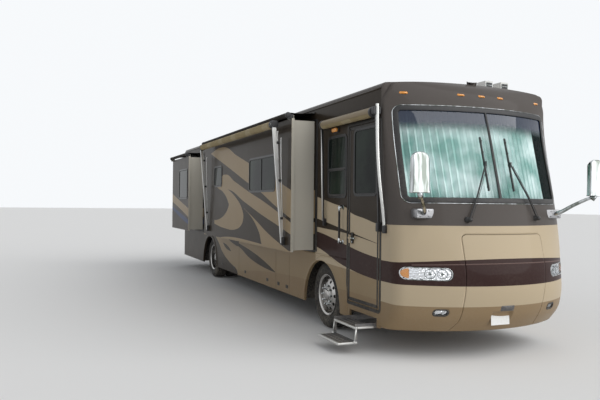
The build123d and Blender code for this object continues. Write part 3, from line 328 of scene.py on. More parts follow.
half_tread = [
    # radius, outboard: middle of the crown to the shoulder, down the side wall to the bead, and inside
    (0.4880, 0.0240), (0.4760, 0.0250), (0.4760, 0.0330), (0.4880, 0.0340), (0.4875, 0.0700), (0.4755, 0.0710),
    (0.4755, 0.0790), (0.4870, 0.0800), (0.4855, 0.1000), (0.4810, 0.1130), (0.4720, 0.1185), (0.4600, 0.1225),
    (0.4560, 0.1255), (0.4530, 0.1255), (0.4500, 0.1290), (0.4300, 0.1350), (0.4000, 0.1395), (0.3800, 0.1390),
    (0.3550, 0.1340), (0.3400, 0.1280), (0.3370, 0.1300), (0.3310, 0.1290), (0.3280, 0.1240), (0.3130, 0.1160),
    (0.3000, 0.1140), (0.2900, 0.1080), (0.2890, 0.0600),
]
tyre_profile = [(r, -w) for r, w in half_tread[::-1]] + half_tread
rubber = material("tyre rubber", (0.016, 0.016, 0.017), 0.8, specular=0.3)
worn(rubber, (0.015, 0.0148, 0.0145, 1), 0.35, 1.1, 220.0, 0.75, 0.15, 0.25, 0.0006)
rear_axle_x, front_axle_x, axle_z = -3.105, 3.645, 0.488
outer_y, inner_y, middle_y = 1.06, 0.74, 0.90
sides = {"right": -1, "left": 1}
for side_name, side in sides.items():
    ring = turned(tyre_profile, (front_axle_x, outer_y, axle_z), side)
    mesh_piece(
        f"tyre_front_{side_name}_tread", [(ring, True, False)], rubber, f"wheel_front_{side_name}", slot="tyre",
        replaces=f"tyre_front_{side_name}"
    )
    rings = [turned(tyre_profile, (rear_axle_x, y, axle_z), side) for y in (outer_y, inner_y)]
    mesh_piece(
        f"tyres_rear_{side_name}_tread", [(ring, True, False) for ring in rings], rubber, f"wheels_rear_{side_name}",
        slot="tyre", replaces=f"tyres_rear_{side_name}"
    )

# Wheels: polished aluminium discs on ten studs, each stud nut under a tall chrome cap, and a hub cap held by small
# screws. Brake dust greys the polish a little.
polished = material("polished wheel", (0.86, 0.87, 0.89), 0.10, 1.0)
worn(polished, (0.40, 0.39, 0.38, 1), 0.25, 1.0, 60.0, 0.22, 0.08, 0.02, 0.0004)
dress(polished, "rim_front_left", "rim_front_right", "rims_rear_left", "rims_rear_right")
# Chrome: upright streaks from dark green-grey to light grey in its base colour are painted reflections of the
# surroundings.
chrome = material("chrome plate", (0.55, 0.56, 0.58), 0.07, 1.0)
chrome_tree = chrome.node_tree
reflection_place = add_node(chrome_tree, "Mapping", [(0, place_of(chrome_tree)), (3, (14.0, 14.0, 2.0))]).outputs[0]
painted_reflection = noise(chrome_tree, reflection_place, 1.0, 3.0)
painted_reflection = ranged(chrome_tree, painted_reflection, 0.38, 0.62)
worn(
    chrome, mix(chrome_tree, painted_reflection, (0.17, 0.19, 0.17, 1), (0.64, 0.66, 0.68, 1)), 0.08, 3.0, 300.0, 0.07, 0.06, 0.01,
    0.0002
)


def nut_ring(centre, side, circle, outboard, count, radius, height):
    """Tapered hexagonal caps standing outboard on a circle about the axle: each cap's corners are at
    radius * taper(height) and its top is drawn together to a low dome."""
    spot = (np.arange(count) / count * 2 * np.pi)[:, None, None]
    rows = np.array([(0.0, 1.25), (0.12, 1.25), (0.14, 1.0), (0.75, 0.92), (0.93, 0.70), (1.0, 0.35), (1.0, 0.0)])
    corner = (np.arange(6) / 6 * 2 * np.pi)[None, None, :]
    reach = radius * rows[None, :, 1, None]
    x = centre[0] + circle * np.cos(spot) + reach * np.cos(corner)
    z = centre[2] + circle * np.sin(spot) + reach * np.sin(corner)
    y = side * (centre[1] + outboard + height * rows[None, :, 0, None])
    return [(cap, False, True) for cap in points_of(x, y, z)]


for side_name, side in sides.items():
    for wheel_name, hub, nuts, screws in (
        ("wheel_front", (front_axle_x, outer_y, axle_z), (0.1429, 0.1115, 10, 0.017, 0.042), (0.0905, 0.1140)),
        ("wheels_rear", (rear_axle_x, middle_y, axle_z), (0.1330, 0.0630, 10, 0.016, 0.040), (0.0600, 0.2440)),
    ):
        caps = nut_ring(hub, side, *nuts) + nut_ring(hub, side, *screws, 8, 0.006, 0.010)
        axle_name, body = wheel_name.split("_")[1], f"{wheel_name}_{side_name}"
        mesh_piece(f"nut_caps_{axle_name}_{side_name}", caps, chrome, body, smooth=False, slot="chrome")


# Body paint: two-layer gloss paint over aluminium skin. The dark base, the tan and beige areas and the swooshes are one
# masked paint job that runs over walls, rooms, doors and skirts alike.
graphics, _, graphics_out = effect("coach paint scheme", [], [("Color", "Color")])
where = add_node(graphics, "TexCoord").outputs
axes = add_node(graphics, "SeparateXYZ", [(0, where["Object"])]).outputs
facing = add_node(graphics, "SeparateXYZ", [(0, where["Normal"])]).outputs


def sweep_mask(tree, along, over, lower, upper):
    """1 between two smooth curves, lower and upper, each given as points (along, over); 0 past their ends. Each curve
    is a Float Curve over the stretch between the first and the last point, scaled to 0..1 both ways."""
    spots = np.array(lower + upper, float)
    start, low = spots.min(0)
    reach, tall = spots.max(0) - spots.min(0)
    share = calc(tree, "DIVIDE", calc(tree, "SUBTRACT", along, start), reach)
    level_share = calc(tree, "DIVIDE", calc(tree, "SUBTRACT", over, low), max(tall, 1e-3))
    edges = []
    for line in (lower, upper):
        curve = add_node(tree, "FloatCurve", [("Value", share)])
        points = curve.mapping.curves[0].points
        for number, (a, b) in enumerate(line):
            spot = ((a - start) / reach, (b - low) / max(tall, 1e-3))
            if number < 2:
                points[number].location = spot
            else:
                points.new(*spot)
        curve.mapping.use_clip = False
        curve.mapping.update()
        edges.append(curve.outputs[0])
    inside = calc(
        tree, "MULTIPLY", calc(tree, "GREATER_THAN", level_share, edges[0]),
        calc(tree, "LESS_THAN", level_share, edges[1])
    )
    ends = calc(tree, "COMPARE", share, 0.5)
    ends.node.inputs[2].default_value = 0.5
    return calc(tree, "MULTIPLY", inside, ends)


dark_brown = (0.034, 0.025, 0.017, 1)
tan = (0.305, 0.226, 0.132, 1)
lower_tan = (0.268, 0.190, 0.109, 1)
beige = (0.470, 0.382, 0.262, 1)
dark_bronze = (0.086, 0.075, 0.068, 1)
maroon = (0.040, 0.021, 0.019, 1)
blue_stripe = (0.020, 0.040, 0.110, 1)
# Cream of the rooms' end walls, darkened as painted shade.
shaded_cream = (0.52, 0.49, 0.42, 1)

# Each row: the colour and the lower and upper edge of the painted area, as points (x, z) on the side of the body.
paint_rows = [
    (
        tan, [(-2.75, 1.10), (-2.26, 0.88), (-1.97, 0.71), (-1.42, 0.54), (-0.79, 0.41), (-0.5, 0.2), (5.9, 0.2)],
        [(-2.75, 1.11), (-2.2, 1.14), (-1.06, 0.95), (-0.69, 0.92), (-0.62, 1.12), (3.30, 1.13), (5.9, 1.13)]
    ),
    (lower_tan, [(-0.6, 0.2), (5.9, 0.2)], [(-0.6, 0.40), (1.6, 0.60), (3.0, 0.65), (5.9, 0.661)]),
    (
        tan, [(-1.5, 2.92), (-0.05, 2.55), (1.33, 2.19), (1.88, 2.06), (2.7, 1.81), (3.40, 1.62)],
        [(-1.5, 2.93), (-0.43, 2.99), (0.5, 2.76), (1.32, 2.56), (2.69, 2.23), (3.40, 2.05)]
    ),
    (
        tan, [(-1.15, 1.39), (-0.36, 1.325), (0.45, 1.33), (0.85, 1.43), (0.98, 1.58)],
        [(-1.15, 2.10), (-0.91, 2.18), (-0.21, 2.13), (0.54, 1.92), (0.85, 1.76), (0.98, 1.62)]
    ),
    (
        dark_brown, [(-1.25, 1.46), (-0.62, 1.52), (-0.19, 1.66), (-0.02, 1.79)],
        [(-1.25, 2.25), (-0.91, 2.18), (-0.27, 1.99), (-0.02, 1.82)]
    ),
    (
        tan, [(-0.92, 2.165), (-0.5, 2.10), (-0.21, 2.12), (1.06, 1.86), (1.98, 1.66), (2.92, 1.48), (3.40, 1.38)],
        [(-0.92, 2.17), (-0.7, 2.30), (-0.4, 2.42), (0.42, 2.25), (1.34, 2.04), (2.15, 1.87), (2.7, 1.74), (3.40, 1.56)]
    ),
    (
        tan, [(1.01, 1.74), (1.5, 1.58), (1.91, 1.34), (2.15, 1.10), (3.40, 1.06)],
        [(1.01, 1.745), (1.64, 1.57), (2.33, 1.36), (3.08, 1.18), (3.40, 1.11)]
    ),
    (
        dark_brown, [(-0.69, 0.92), (-0.57, 0.90), (0.1, 0.74), (0.8, 0.65), (1.61, 0.605)],
        [(-0.69, 0.99), (0.4, 0.86), (0.99, 0.76), (1.61, 0.62)]
    ),
    (dark_brown, [(-1.91, 0.92), (-1.6, 0.80), (-1.24, 0.77)], [(-1.91, 0.925), (-1.55, 0.88), (-1.24, 0.775)]),
    (
        beige, [(3.41, 1.0), (5.9, 0.9)],
        [
            (3.41, 1.96), (3.70, 1.912), (4.08, 1.846), (4.47, 1.793), (4.58, 1.736), (4.98, 1.665), (5.36, 1.607),
            (5.9, 1.607)
        ]
    ),
    (
        dark_brown, [(3.41, 1.50), (3.6, 1.49), (4.42, 1.45), (5.36, 1.355)],
        [(3.41, 1.63), (3.64, 1.60), (4.42, 1.49), (5.36, 1.36)]
    ),
    (
        maroon, [(3.41, 1.20), (3.59, 1.17), (4.48, 0.98), (5.39, 0.905), (5.9, 0.909)],
        [(3.41, 1.43), (3.61, 1.413), (4.48, 1.283), (4.98, 1.215), (5.36, 1.185), (5.9, 1.175)]
    ),
    (
        tan, [(-6.3, 1.90), (-5.63, 1.80), (-3.63, 1.42), (-3.5, 1.39)],
        [(-6.3, 2.16), (-5.64, 2.02), (-3.64, 1.65), (-3.5, 1.62)]
    ),
    (
        blue_stripe, [(-6.3, 1.72), (-5.63, 1.58), (-3.63, 1.24), (-3.5, 1.22)],
        [(-6.3, 1.78), (-5.64, 1.68), (-3.64, 1.36), (-3.5, 1.33)]
    ),
]
painted = add_node(graphics, "RGB").outputs[0]
painted.default_value = dark_brown
for row_colour, row_lower, row_upper in paint_rows:
    row_mask = sweep_mask(graphics, axes["X"], axes["Z"], row_lower, row_upper)
    painted = mix(graphics, row_mask, painted, row_colour)
# The rooms' forward end walls get cream, darkened to paint in the shade that falls on them.
end_face = calc(graphics, "GREATER_THAN", calc(graphics, "ABSOLUTE", facing["X"]), 0.8)
outboard = calc(graphics, "GREATER_THAN", calc(graphics, "ABSOLUTE", axes["Y"]), 1.302)
painted = mix(graphics, calc(graphics, "MULTIPLY", end_face, outboard), painted, shaded_cream)

# Above the side walls: bronze roof edge, and a white membrane on top.
roof_edge = calc(graphics, "GREATER_THAN", axes["Z"], 3.30)
roof_top = calc(graphics, "LESS_THAN", calc(graphics, "ABSOLUTE", axes["Y"]), 1.17)
roof_top = calc(graphics, "MULTIPLY", roof_top, calc(graphics, "GREATER_THAN", facing["Z"], 0.5))
painted = mix(graphics, roof_edge, painted, dark_bronze)
painted = mix(graphics, calc(graphics, "MULTIPLY", roof_edge, roof_top), painted, (0.62, 0.61, 0.58, 1))
graphics.links.new(painted, graphics_out["Color"])


def gloss_paint(name, colour=None, scheme=None, amount=0.12):
    """Coach paint: a colour or a paint scheme, a thin clear coat and slight orange peel."""
    made = material(name, (colour or beige)[:3], 0.30, 0.0, 0.09, 0.03, 0.10)
    made.node_tree.nodes["Principled BSDF"].inputs["IOR"].default_value = 1.3
    picked = use(made.node_tree, scheme)["Color"] if scheme else colour
    return worn(made, picked, amount, 1.3, 160.0, 0.34, 0.08, 0.02, 0.0003)


coach_paint = gloss_paint("coach paint", scheme=graphics)
side_names = ["wall_left", "wall_right", "skirt_left", "skirt_right", "entry_door"]
side_names += [f"bay_door_{side}_{number}" for side in ("left", "right") for number in (1, 2, 3)]
side_names += ["roof_shell", "rear_cap", "engine_door"]
side_names += ["room_left_front", "room_left_rear", "room_right_front", "room_right_rear"]
dress(coach_paint, *side_names)

# Windows: tinted glass in black aluminium frames. A light bronze film keeps them nearly black from outside.
window_black = worn(
    material("window black", (0.01, 0.011, 0.012), 0.3, 0.0, 0.0, 0.03, 0.25), (0.012, 0.012, 0.013, 1), 0.08, 1.2, 30,
    0.30, 0.06, 0.0
)
dress(window_black, "side_windows", "entry_door_window", "room_windows_left_front", "room_windows_left_rear")
dress(window_black, "room_windows_right_front", "room_windows_right_rear")

# Floor: sealed plywood deck with the stairs let into it, seen through the open door.
deck_wood = material("deck plywood", (0.25, 0.16, 0.09), 0.6)
deck_tree = deck_wood.node_tree
deck_place = place_of(deck_tree)
deck_stretch = add_node(deck_tree, "Mapping", [(0, deck_place), (3, (1.0, 14.0, 14.0))]).outputs[0]
deck_rings = noise(deck_tree, deck_stretch, 3.0, 8.0)
deck_colour = mix(deck_tree, deck_rings, (0.16, 0.09, 0.045, 1), (0.36, 0.24, 0.13, 1))
worn(deck_wood, deck_colour, 0.2, 1.4, 200.0, 0.5, 0.2, 0.3, 0.001)
dress(deck_wood, "floor_deck")

# Front cap: one moulding of fibreglass, 12 m ahead of the rear cap, its nose bowed forward and its corners wrapped
# round to the sides. Its plan changes with height; the paint splits it into bronze, beige, maroon and tan.
half_body = 1.275
bedded, proud, rear_face = half_body - 0.0005, half_body + 0.0005, 6.285
crown_half, wall_top_z, crown_foot_z, roof_z = 1.202, 3.302, 3.375, 3.425
cap_joint = 5.385
front_rows = np.array([
    # z, nose x, bow of the middle ahead of the corners, corner radius
    (0.340, 6.020, 0.430, 0.240), (0.500, 6.165, 0.440, 0.250), (0.720, 6.262, 0.480, 0.250),
    (1.050, 6.305, 0.550, 0.250), (1.350, 6.234, 0.495, 0.250), (1.600, 6.157, 0.440, 0.250),
    (1.880, 6.099, 0.440, 0.250),
    (3.080, 5.755, 0.330, 0.055), (3.200, 5.715, 0.290, 0.055), (3.300, 5.647, 0.220, 0.050),
    (3.365, 5.575, 0.145, 0.045), (3.432, 5.455, 0.030, 0.035),
])
crease_row = 6


def eased(z, column):
    """A front value at height z: a cubic through the rows whose slope at a row is the mean of its neighbours' slopes,
    with a crease, so one slope on each side, at the foot of the windshield."""
    value = np.empty_like(z)
    for rows, part in (
        (front_rows[: crease_row + 1], z <= front_rows[crease_row, 0]),
        (front_rows[crease_row:], z > front_rows[crease_row, 0])
    ):
        knots, heights = rows[:, 0], rows[:, column]
        slopes = np.gradient(heights, knots)
        i = np.clip(np.searchsorted(knots, z[part]) - 1, 0, len(knots) - 2)
        gap = knots[i + 1] - knots[i]
        t = np.clip((z[part] - knots[i]) / gap, 0, 1)
        value[part] = (
            (2 * t**3 - 3 * t**2 + 1) * heights[i] + (t**3 - 2 * t**2 + t) * gap * slopes[i]
            + (3 * t**2 - 2 * t**3) * heights[i + 1] + (t**3 - t**2) * gap * slopes[i + 1]
        )
    return value


def half_width_at(z):
    """Half the body's width at height z: the wall, then a quarter round of 73 mm, then the roof's low crown."""
    quarter = crown_half + np.sqrt(np.clip(0.073**2 - (z - wall_top_z) ** 2, 0, None))
    crown_radius = (crown_half**2 + 0.050**2) / (2 * 0.050)
    crown = np.sqrt(np.clip(crown_radius**2 - (z - roof_z + crown_radius) ** 2, 0, None))
    return np.where(z < wall_top_z, half_body, np.where(z < crown_foot_z, quarter, crown))


def nose_arc(z):
    """Centre x and radius of the nose's plan arc at height z."""
    nose, bow = eased(z, 1), eased(z, 2)
    radius = (half_body**2 + bow**2) / (2 * bow)
    return nose - radius, radius


def front_at(y, z, out=0.0):
    """The point of the front's skin with this y and z, moved forward by out: x = arc centre + sqrt(radius^2 - y^2)."""
    centre, radius = nose_arc(z)
    return points_of(centre + np.sqrt(radius**2 - y**2) + out, y, z)


def plan_row(z, columns_arc, columns_corner, columns_side):
    """Half a plan outline at each height z, from the middle to the rear joint: the nose arc up to the corner, a round
    corner tangent to it, and the side back to the wall, which the brow's corners widen to. All heights at once."""
    centre, radius = nose_arc(z)
    wall_half = half_width_at(z)
    brow = np.clip((z - 3.12) / 0.255, 0, 1)
    half = wall_half - 0.10 * brow**2 * (3 - 2 * brow)
    corner = np.minimum(eased(z, 3), 0.45 * half)
    corner_x = centre + np.sqrt((radius - corner) ** 2 - (half - corner) ** 2)
    share = np.linspace(0, 1, columns_arc)[None, :]
    touch_y = (half - corner) * radius / (radius - corner)
    arc_y = share * touch_y[:, None]
    arc_x = centre[:, None] + np.sqrt(radius[:, None] ** 2 - arc_y**2)
    first = np.arctan2(half - corner, corner_x - centre)[:, None]
    angle = first + (np.pi / 2 - first) * np.linspace(0, 1, columns_corner)[None, 1:]
    turn_x = corner_x[:, None] + corner[:, None] * np.cos(angle)
    turn_y = (half - corner)[:, None] + corner[:, None] * np.sin(angle)
    back = np.linspace(0, 1, columns_side)[None, 1:]
    side_x = corner_x[:, None] + (cap_joint - corner_x[:, None]) * back
    side_y = half[:, None] + (wall_half - half)[:, None] * back * (2 - back)
    return np.concatenate([arc_x, turn_x, side_x], 1), np.concatenate([arc_y, turn_y, side_y], 1)


def rounded_outline(half_y, half_z, radius, middle=(0.0, 0.0), steps=8, straight=10):
    """A closed outline, a rectangle with round corners, as points (y, z) that go round once."""
    spots = []
    for number, (sy, sz) in enumerate(((1, 1), (-1, 1), (-1, -1), (1, -1))):
        angle = np.linspace(0, np.pi / 2, steps) + number * np.pi / 2
        spots.append(
            np.stack(
                [sy * (half_y - radius) + radius * np.cos(angle), sz * (half_z - radius) + radius * np.sin(angle)], -1
            )
        )
    corners = np.concatenate(spots)
    after = np.roll(corners, -1, 0)
    gap = np.linalg.norm(after - corners, axis=1)
    filled = []
    for start, end, length in zip(corners, after, gap):
        count = max(1, int(round(length / 0.08))) if straight else 1
        filled.append(start + (end - start) * (np.arange(count) / count)[:, None])
    return np.concatenate(filled) + np.array(middle)


def signed_gap(y, z, half_y, half_z, radius, middle, foot=0.0):
    """Distance outside (above 0) or inside (below 0) a rectangle with round corners. With a foot it spreads below the
    flare, to foot more each side at the lower edge: y is scaled back before the distance is taken."""
    y = y * half_y / (half_y + foot * np.clip((flare_z - z) / (flare_z - front_low_z), 0, 1))
    dy, dz = np.abs(y - middle[0]) - half_y + radius, np.abs(z - middle[1]) - half_z + radius
    return np.hypot(np.clip(dy, 0, None), np.clip(dz, 0, None)) + np.minimum(np.maximum(dy, dz), 0) - radius


front_low_z = 0.34
flare_z = 0.480
shield = (1.165, 0.5875, 0.09, (0.0, 2.4775))
hatch = (0.592, 0.755, 0.06, (0.0, 0.755), 0.044)
head_lamp = (0.255, 0.076, 0.07, (0.985, 1.046))
fog_lamp = (0.088, 0.044, 0.043, (0.822, 0.588))
(lamp_y, lamp_z), (fog_y, fog_z) = head_lamp[3], fog_lamp[3]


def cut_front(skin_z, columns):
    """The cap's skin as vertices and quads: the grid of plan rows without the quads inside an opening. The corners left
    along an opening are drawn onto its outline, and their x follows from the front surface."""
    x, y = plan_row(skin_z, *columns)
    x, y = np.concatenate([x[:, :0:-1], x], 1), np.concatenate([-y[:, :0:-1], y], 1)
    z = np.repeat(skin_z[:, None], x.shape[1], 1)
    openings = [shield, hatch]
    for side in (-1, 1):
        openings.append((*head_lamp[:3], (side * lamp_y, lamp_z)))
        openings.append((*fog_lamp[:3], (side * fog_y, fog_z)))
    middle_y = (y[:-1, :-1] + y[1:, :-1] + y[1:, 1:] + y[:-1, 1:]) / 4
    middle_z = (z[:-1, :-1] + z[1:, :-1] + z[1:, 1:] + z[:-1, 1:]) / 4
    middle_x = (x[:-1, :-1] + x[1:, 1:]) / 2
    gone = np.zeros(middle_y.shape, bool)
    for opening in openings:
        inside = (signed_gap(middle_y, middle_z, *opening) < 0) & (middle_x > 5.45)
        gone |= inside
        touched = np.zeros(z.shape, bool)
        kept = np.zeros(z.shape, bool)
        for di in (0, 1):
            for dj in (0, 1):
                touched[di : di + inside.shape[0], dj : dj + inside.shape[1]] |= inside
                kept[di : di + inside.shape[0], dj : dj + inside.shape[1]] |= ~inside
        rim = touched & kept
        for _ in range(4):
            gap = signed_gap(y[rim], z[rim], *opening)
            step = 1e-4
            slope_y = (signed_gap(y[rim] + step, z[rim], *opening) - gap) / step
            slope_z = (signed_gap(y[rim], z[rim] + step, *opening) - gap) / step
            y[rim] -= gap * slope_y
            z[rim] = np.clip(z[rim] - gap * slope_z, skin_z[0], None)
        x[rim] = front_at(y[rim], z[rim])[:, 0]
    rows, width = z.shape
    i, j = np.nonzero(~gone)
    quads = np.stack([i * width + j, (i + 1) * width + j, (i + 1) * width + j + 1, i * width + j + 1], -1)
    return np.stack([x, y, z], -1).reshape(-1, 3), quads


skin_stretches = (
    (front_low_z, 0.52, 12), (0.52, 0.63, 14), (0.63, 0.95, 20), (0.95, 1.13, 22), (1.13, 1.88, 40), (1.88, 3.28, 70),
    (3.28, crown_foot_z, 14)
)
skin_z = np.concatenate([np.linspace(low, high, count)[:-1] for low, high, count in skin_stretches])
skin_z = np.concatenate([skin_z, roof_z - 0.050 * np.linspace(1, 0.02, 12) ** 2])
front_scheme, _, front_scheme_out = effect("front paint scheme", [], [("Color", "Color")])
front_axes = add_node(front_scheme, "SeparateXYZ", [(0, place_of(front_scheme))]).outputs
front_y = calc(front_scheme, "ABSOLUTE", front_axes["Y"])
bowed = calc(front_scheme, "MULTIPLY", calc(front_scheme, "POWER", front_y, 2.0), 0.037)
front_colour = add_node(front_scheme, "RGB").outputs[0]
front_colour.default_value = lower_tan
for band_z, sagging, band_colour in (
    (0.661, 0.0, beige), (0.909, 0.0, maroon), (1.226, 1.0, beige), (1.608, 0.0, dark_bronze)
):
    band_edge = calc(front_scheme, "SUBTRACT", band_z, calc(front_scheme, "MULTIPLY", bowed, sagging))
    over = calc(front_scheme, "GREATER_THAN", front_axes["Z"], band_edge)
    front_colour = mix(front_scheme, over, front_colour, band_colour)
front_scheme.links.new(front_colour, front_scheme_out["Color"])
front_paint = gloss_paint("front cap paint", scheme=front_scheme, amount=0.08)


def thicken(piece, name, thickness):
    """Gives a piece a wall on its inner side."""
    wall = piece.modifiers.new(name, "SOLIDIFY")
    wall.thickness = thickness
    wall.offset = -1


skin_points, skin_quads = cut_front(skin_z, (84, 14, 14))
front_skin = built_piece(
    "front_cap_skin", skin_points, skin_quads, front_paint, "coach", replaces="front_cap", slot="front_paint"
)
if np.mean([face.normal.x for face in front_skin.data.polygons]) < 0:
    front_skin.data.flip_normals()
thicken(front_skin, "wall", 0.03)


# Front hatch: a fibreglass door hinged at its top edge, its seams straight down to the lamps and spreading below, with
# a shallow pocket for a plate near its foot.
hatch_v = np.linspace(0, 1, 120)[:, None]
hatch_u = np.linspace(-1, 1, 120)[None, :]
hatch_z = front_low_z + 1.164 * hatch_v
hatch_half = 0.586 + 0.044 * np.clip((flare_z - hatch_z) / (flare_z - front_low_z), 0, 1)
hatch_corner = 0.054
corner_drop = np.clip(hatch_z - 1.450, 0, hatch_corner)
hatch_half = hatch_half - hatch_corner + np.sqrt(hatch_corner**2 - corner_drop**2 + 1e-9)
hatch_y = hatch_u * hatch_half
pocket_low_z, pocket_high_z = 0.385, 0.592
pocket = np.clip((0.150 - np.abs(hatch_y + 0.055)) / 0.014, 0, 1) * np.clip((hatch_z - pocket_low_z) / 0.03, 0, 1)
pocket = pocket * np.clip((pocket_high_z - hatch_z) / 0.012, 0, 1)
pocket_depth = 0.034 * np.clip((hatch_z - pocket_low_z) / 0.17, 0, 1)
hatch_points = front_at(hatch_y, hatch_z, -pocket * pocket_depth)
front_hatch = mesh_piece(
    "front_hatch_skin", [(hatch_points, False, False)], front_paint, "front_hatch", slot="front_paint",
    replaces="front_hatch"
)
thicken(front_hatch, "wall", 0.026)


def soft_block(low, high, radius, edge, axis=0):
    """A block between two corners: a rounded rectangle carried along one axis, drawn in by a quarter circle of radius
    edge at both ends and closed there. Grid rows run along the axis, columns round the rectangle."""
    low, high = np.minimum(low, high), np.maximum(low, high)
    first, second = [k for k in range(3) if k != axis]
    middle, half = (low + high) / 2, (high - low) / 2
    steps = 5
    turn = np.linspace(0, np.pi / 2, steps)
    along = np.concatenate([-half[axis] + edge * (1 - np.cos(turn)), half[axis] - edge * (1 - np.cos(turn[::-1]))])
    inset = np.concatenate([edge * (1 - np.sin(turn)), edge * (1 - np.sin(turn[::-1]))])
    angle = (np.linspace(0, np.pi / 2, steps)[None, :] + np.arange(4)[:, None] * np.pi / 2).ravel()
    sign_a, sign_b = np.repeat((1, -1, -1, 1), steps), np.repeat((1, 1, -1, -1), steps)
    corner = np.maximum(radius - inset, 1e-4)[:, None]
    block = np.zeros((len(along) + 2, len(angle), 3))
    block[1:-1, :, first] = sign_a * (half[first] - inset[:, None] - corner) + corner * np.cos(angle)
    block[1:-1, :, second] = sign_b * (half[second] - inset[:, None] - corner) + corner * np.sin(angle)
    block[1:-1, :, axis] = along[:, None]
    block[0, :, axis], block[-1, :, axis] = -half[axis], half[axis]
    return block + middle, False, True


plate_white = worn_finish(
    "blank plate", (0.78, 0.78, 0.76), 0.45, amount=0.25, top=1.0, scale=300.0, middle=0.4, spread=0.1, bump=0.03
)
plate_rise, plate_y = np.linspace(0, 1, 6)[:, None], np.linspace(-0.19, 0.08, 12)[None, :]
plate_points = points_of(6.160 - 0.008 * plate_rise, plate_y, 0.425 + 0.150 * plate_rise)
plate = mesh_piece("front_plate", [(plate_points, False, False)], plate_white, "front_hatch", smooth=False)
thicken(plate, "sheet", 0.003)

# Headlamps: a long slot each side behind a clear fluted cover, with two reflector bowls, an amber turn lamp at the
# outer end and a bright bezel. The fog lamps are small ovals below.
def outline_normals(outline):
    """Unit normals of a closed outline that runs anticlockwise, pointing outwards."""
    along = np.roll(outline, -1, 0) - np.roll(outline, 1, 0)
    along = along / np.linalg.norm(along, axis=1, keepdims=True)
    return np.stack([along[:, 1], -along[:, 0]], -1)


def set_off(outline, profile):
    """Rows of points along an outline, set off square to it by each across value of the profile."""
    return outline[:, None, :] + outline_normals(outline)[:, None, :] * profile[None, :, 0, None]


def drawn_in(outline, rings):
    """An outline scaled to its middle in even steps: the share left at each ring, and the rings' points."""
    middle = (outline.max(0) + outline.min(0)) / 2
    share = np.linspace(1, 0, rings)[:, None]
    return share, middle + (outline - middle)[None] * share[..., None]


def front_ring(outline, profile):
    """A moulding round an outline on the front: the profile's (across, out) points are set off square to the outline
    in y and z, and forward of the front's skin in x."""
    profile = np.array(profile)
    spots = set_off(outline, profile)
    return front_at(spots[..., 0], spots[..., 1], profile[None, :, 1]), True, True


def front_panel(outline, out, bulge=0.0, rings=10):
    """A panel that fills an outline: the outline scaled to its middle in even steps, its x from the front's skin plus
    out, and bulge more in the middle."""
    share, spots = drawn_in(outline, rings)
    return front_at(spots[..., 0], spots[..., 1], out + bulge * (1 - share**2)), False, True


round_bead = [(0.5 * np.cos(a), 0.5 * np.sin(a)) for a in np.linspace(0, 2 * np.pi, 12, endpoint=False)]


def bead(width, height, across, out):
    """A rounded profile of this width and height about the point (across, out)."""
    return np.array(round_bead) * (width, height) + (across, out)


gasket_black = worn_finish(
    "rubber gasket", (0.016, 0.016, 0.017), 0.55, specular=0.4, amount=0.2, top=3.0, scale=260.0, middle=0.5,
    spread=0.1, bump=0.2, distance=0.0004
)
# A dark grey panel above the plate is painted shade: it stands in for the shadowed recess there.
mesh_piece(
    "front_plate_shade_panel", [front_panel(rounded_outline(0.098, 0.034, 0.012, (-0.01, 0.632), 6), 0.001, 0.012)], cast_grey,
    "front_hatch", slot="steel"
)
clear_cover = material("clear lamp cover", (0.30, 0.34, 0.38), 0.02, specular=0.35)
clear_cover.node_tree.nodes["Principled BSDF"].inputs["Alpha"].default_value = 0.14
reflector = material("lamp reflector", (0.9, 0.91, 0.93), 0.12, 1.0)
flute_tree = reflector.node_tree
flute_values = [("Vector", place_of(flute_tree)), ("Scale", 42.0)]
fluted = add_node(flute_tree, "TexVoronoi", flute_values).outputs["Distance"]
feed(flute_tree, "Normal", relief(flute_tree, fluted, 0.9, 0.01))
amber = material("amber lens", (0.84, 0.33, 0.05), 0.15, coat=0.6, coat_roughness=0.03)
worn(amber, (0.84, 0.33, 0.045, 1), 0.08, 4.0, 90.0, 0.18, 0.08, 0.15, 0.001)
for side_name, side in sides.items():
    lamp_outline = rounded_outline(*head_lamp[:3], (side * lamp_y, lamp_z), 8)
    cover_outline = rounded_outline(0.247, 0.068, 0.062, (side * lamp_y, lamp_z), 8)
    mesh_piece(
        f"headlamp_reflector_{side_name}", [front_panel(cover_outline, -0.020)], reflector, "coach", slot="lamp",
        replaces="front_lamps"
    )
    bezel = [front_ring(lamp_outline, bead(0.010, 0.012, -0.004, -0.003))]
    fog_outline = rounded_outline(*fog_lamp[:3], (side * fog_y, fog_z), 8)
    mesh_piece(
        f"fog_lamp_ring_{side_name}", [front_ring(fog_outline, bead(0.018, 0.018, -0.007, -0.002))], gasket_black,
        "coach", slot="black_plastic"
    )
    mesh_piece(f"lamp_bezels_{side_name}", bezel, chrome, "coach", slot="chrome")
    fog_inner = rounded_outline(0.078, 0.035, 0.034, (side * fog_y, fog_z), 8)
    mesh_piece(f"fog_lamp_{side_name}", [front_panel(fog_inner, -0.022, 0.006)], reflector, "coach", slot="lamp")
    covers = [front_panel(cover_outline, -0.004, 0.002), front_panel(fog_inner, -0.008, 0.003)]
    mesh_piece(f"lamp_covers_{side_name}", covers, clear_cover, "coach", slot="lamp")
    bowls = []
    for bowl_y in (0.83, 0.955):
        bowl = rounded_outline(0.052, 0.052, 0.0515, (side * bowl_y, lamp_z), 8, 0)
        bowls.append(front_ring(bowl, bead(0.008, 0.010, 0.0, -0.014)))
        bowls.append(front_panel(rounded_outline(0.016, 0.016, 0.0155, (side * bowl_y, lamp_z), 6, 0), -0.016, 0.010))
    mesh_piece(f"headlamp_bowls_{side_name}", bowls, chrome, "coach", slot="chrome")
    arc = np.linspace(-1.45, 1.45, 19)
    turn_outline = np.stack([side * (1.142 + 0.086 * np.cos(arc)), lamp_z + 0.0585 * np.sin(arc)], -1)[::side]
    mesh_piece(f"turn_lamp_{side_name}", [front_panel(turn_outline, -0.012, 0.004)], amber, "coach", slot="amber")

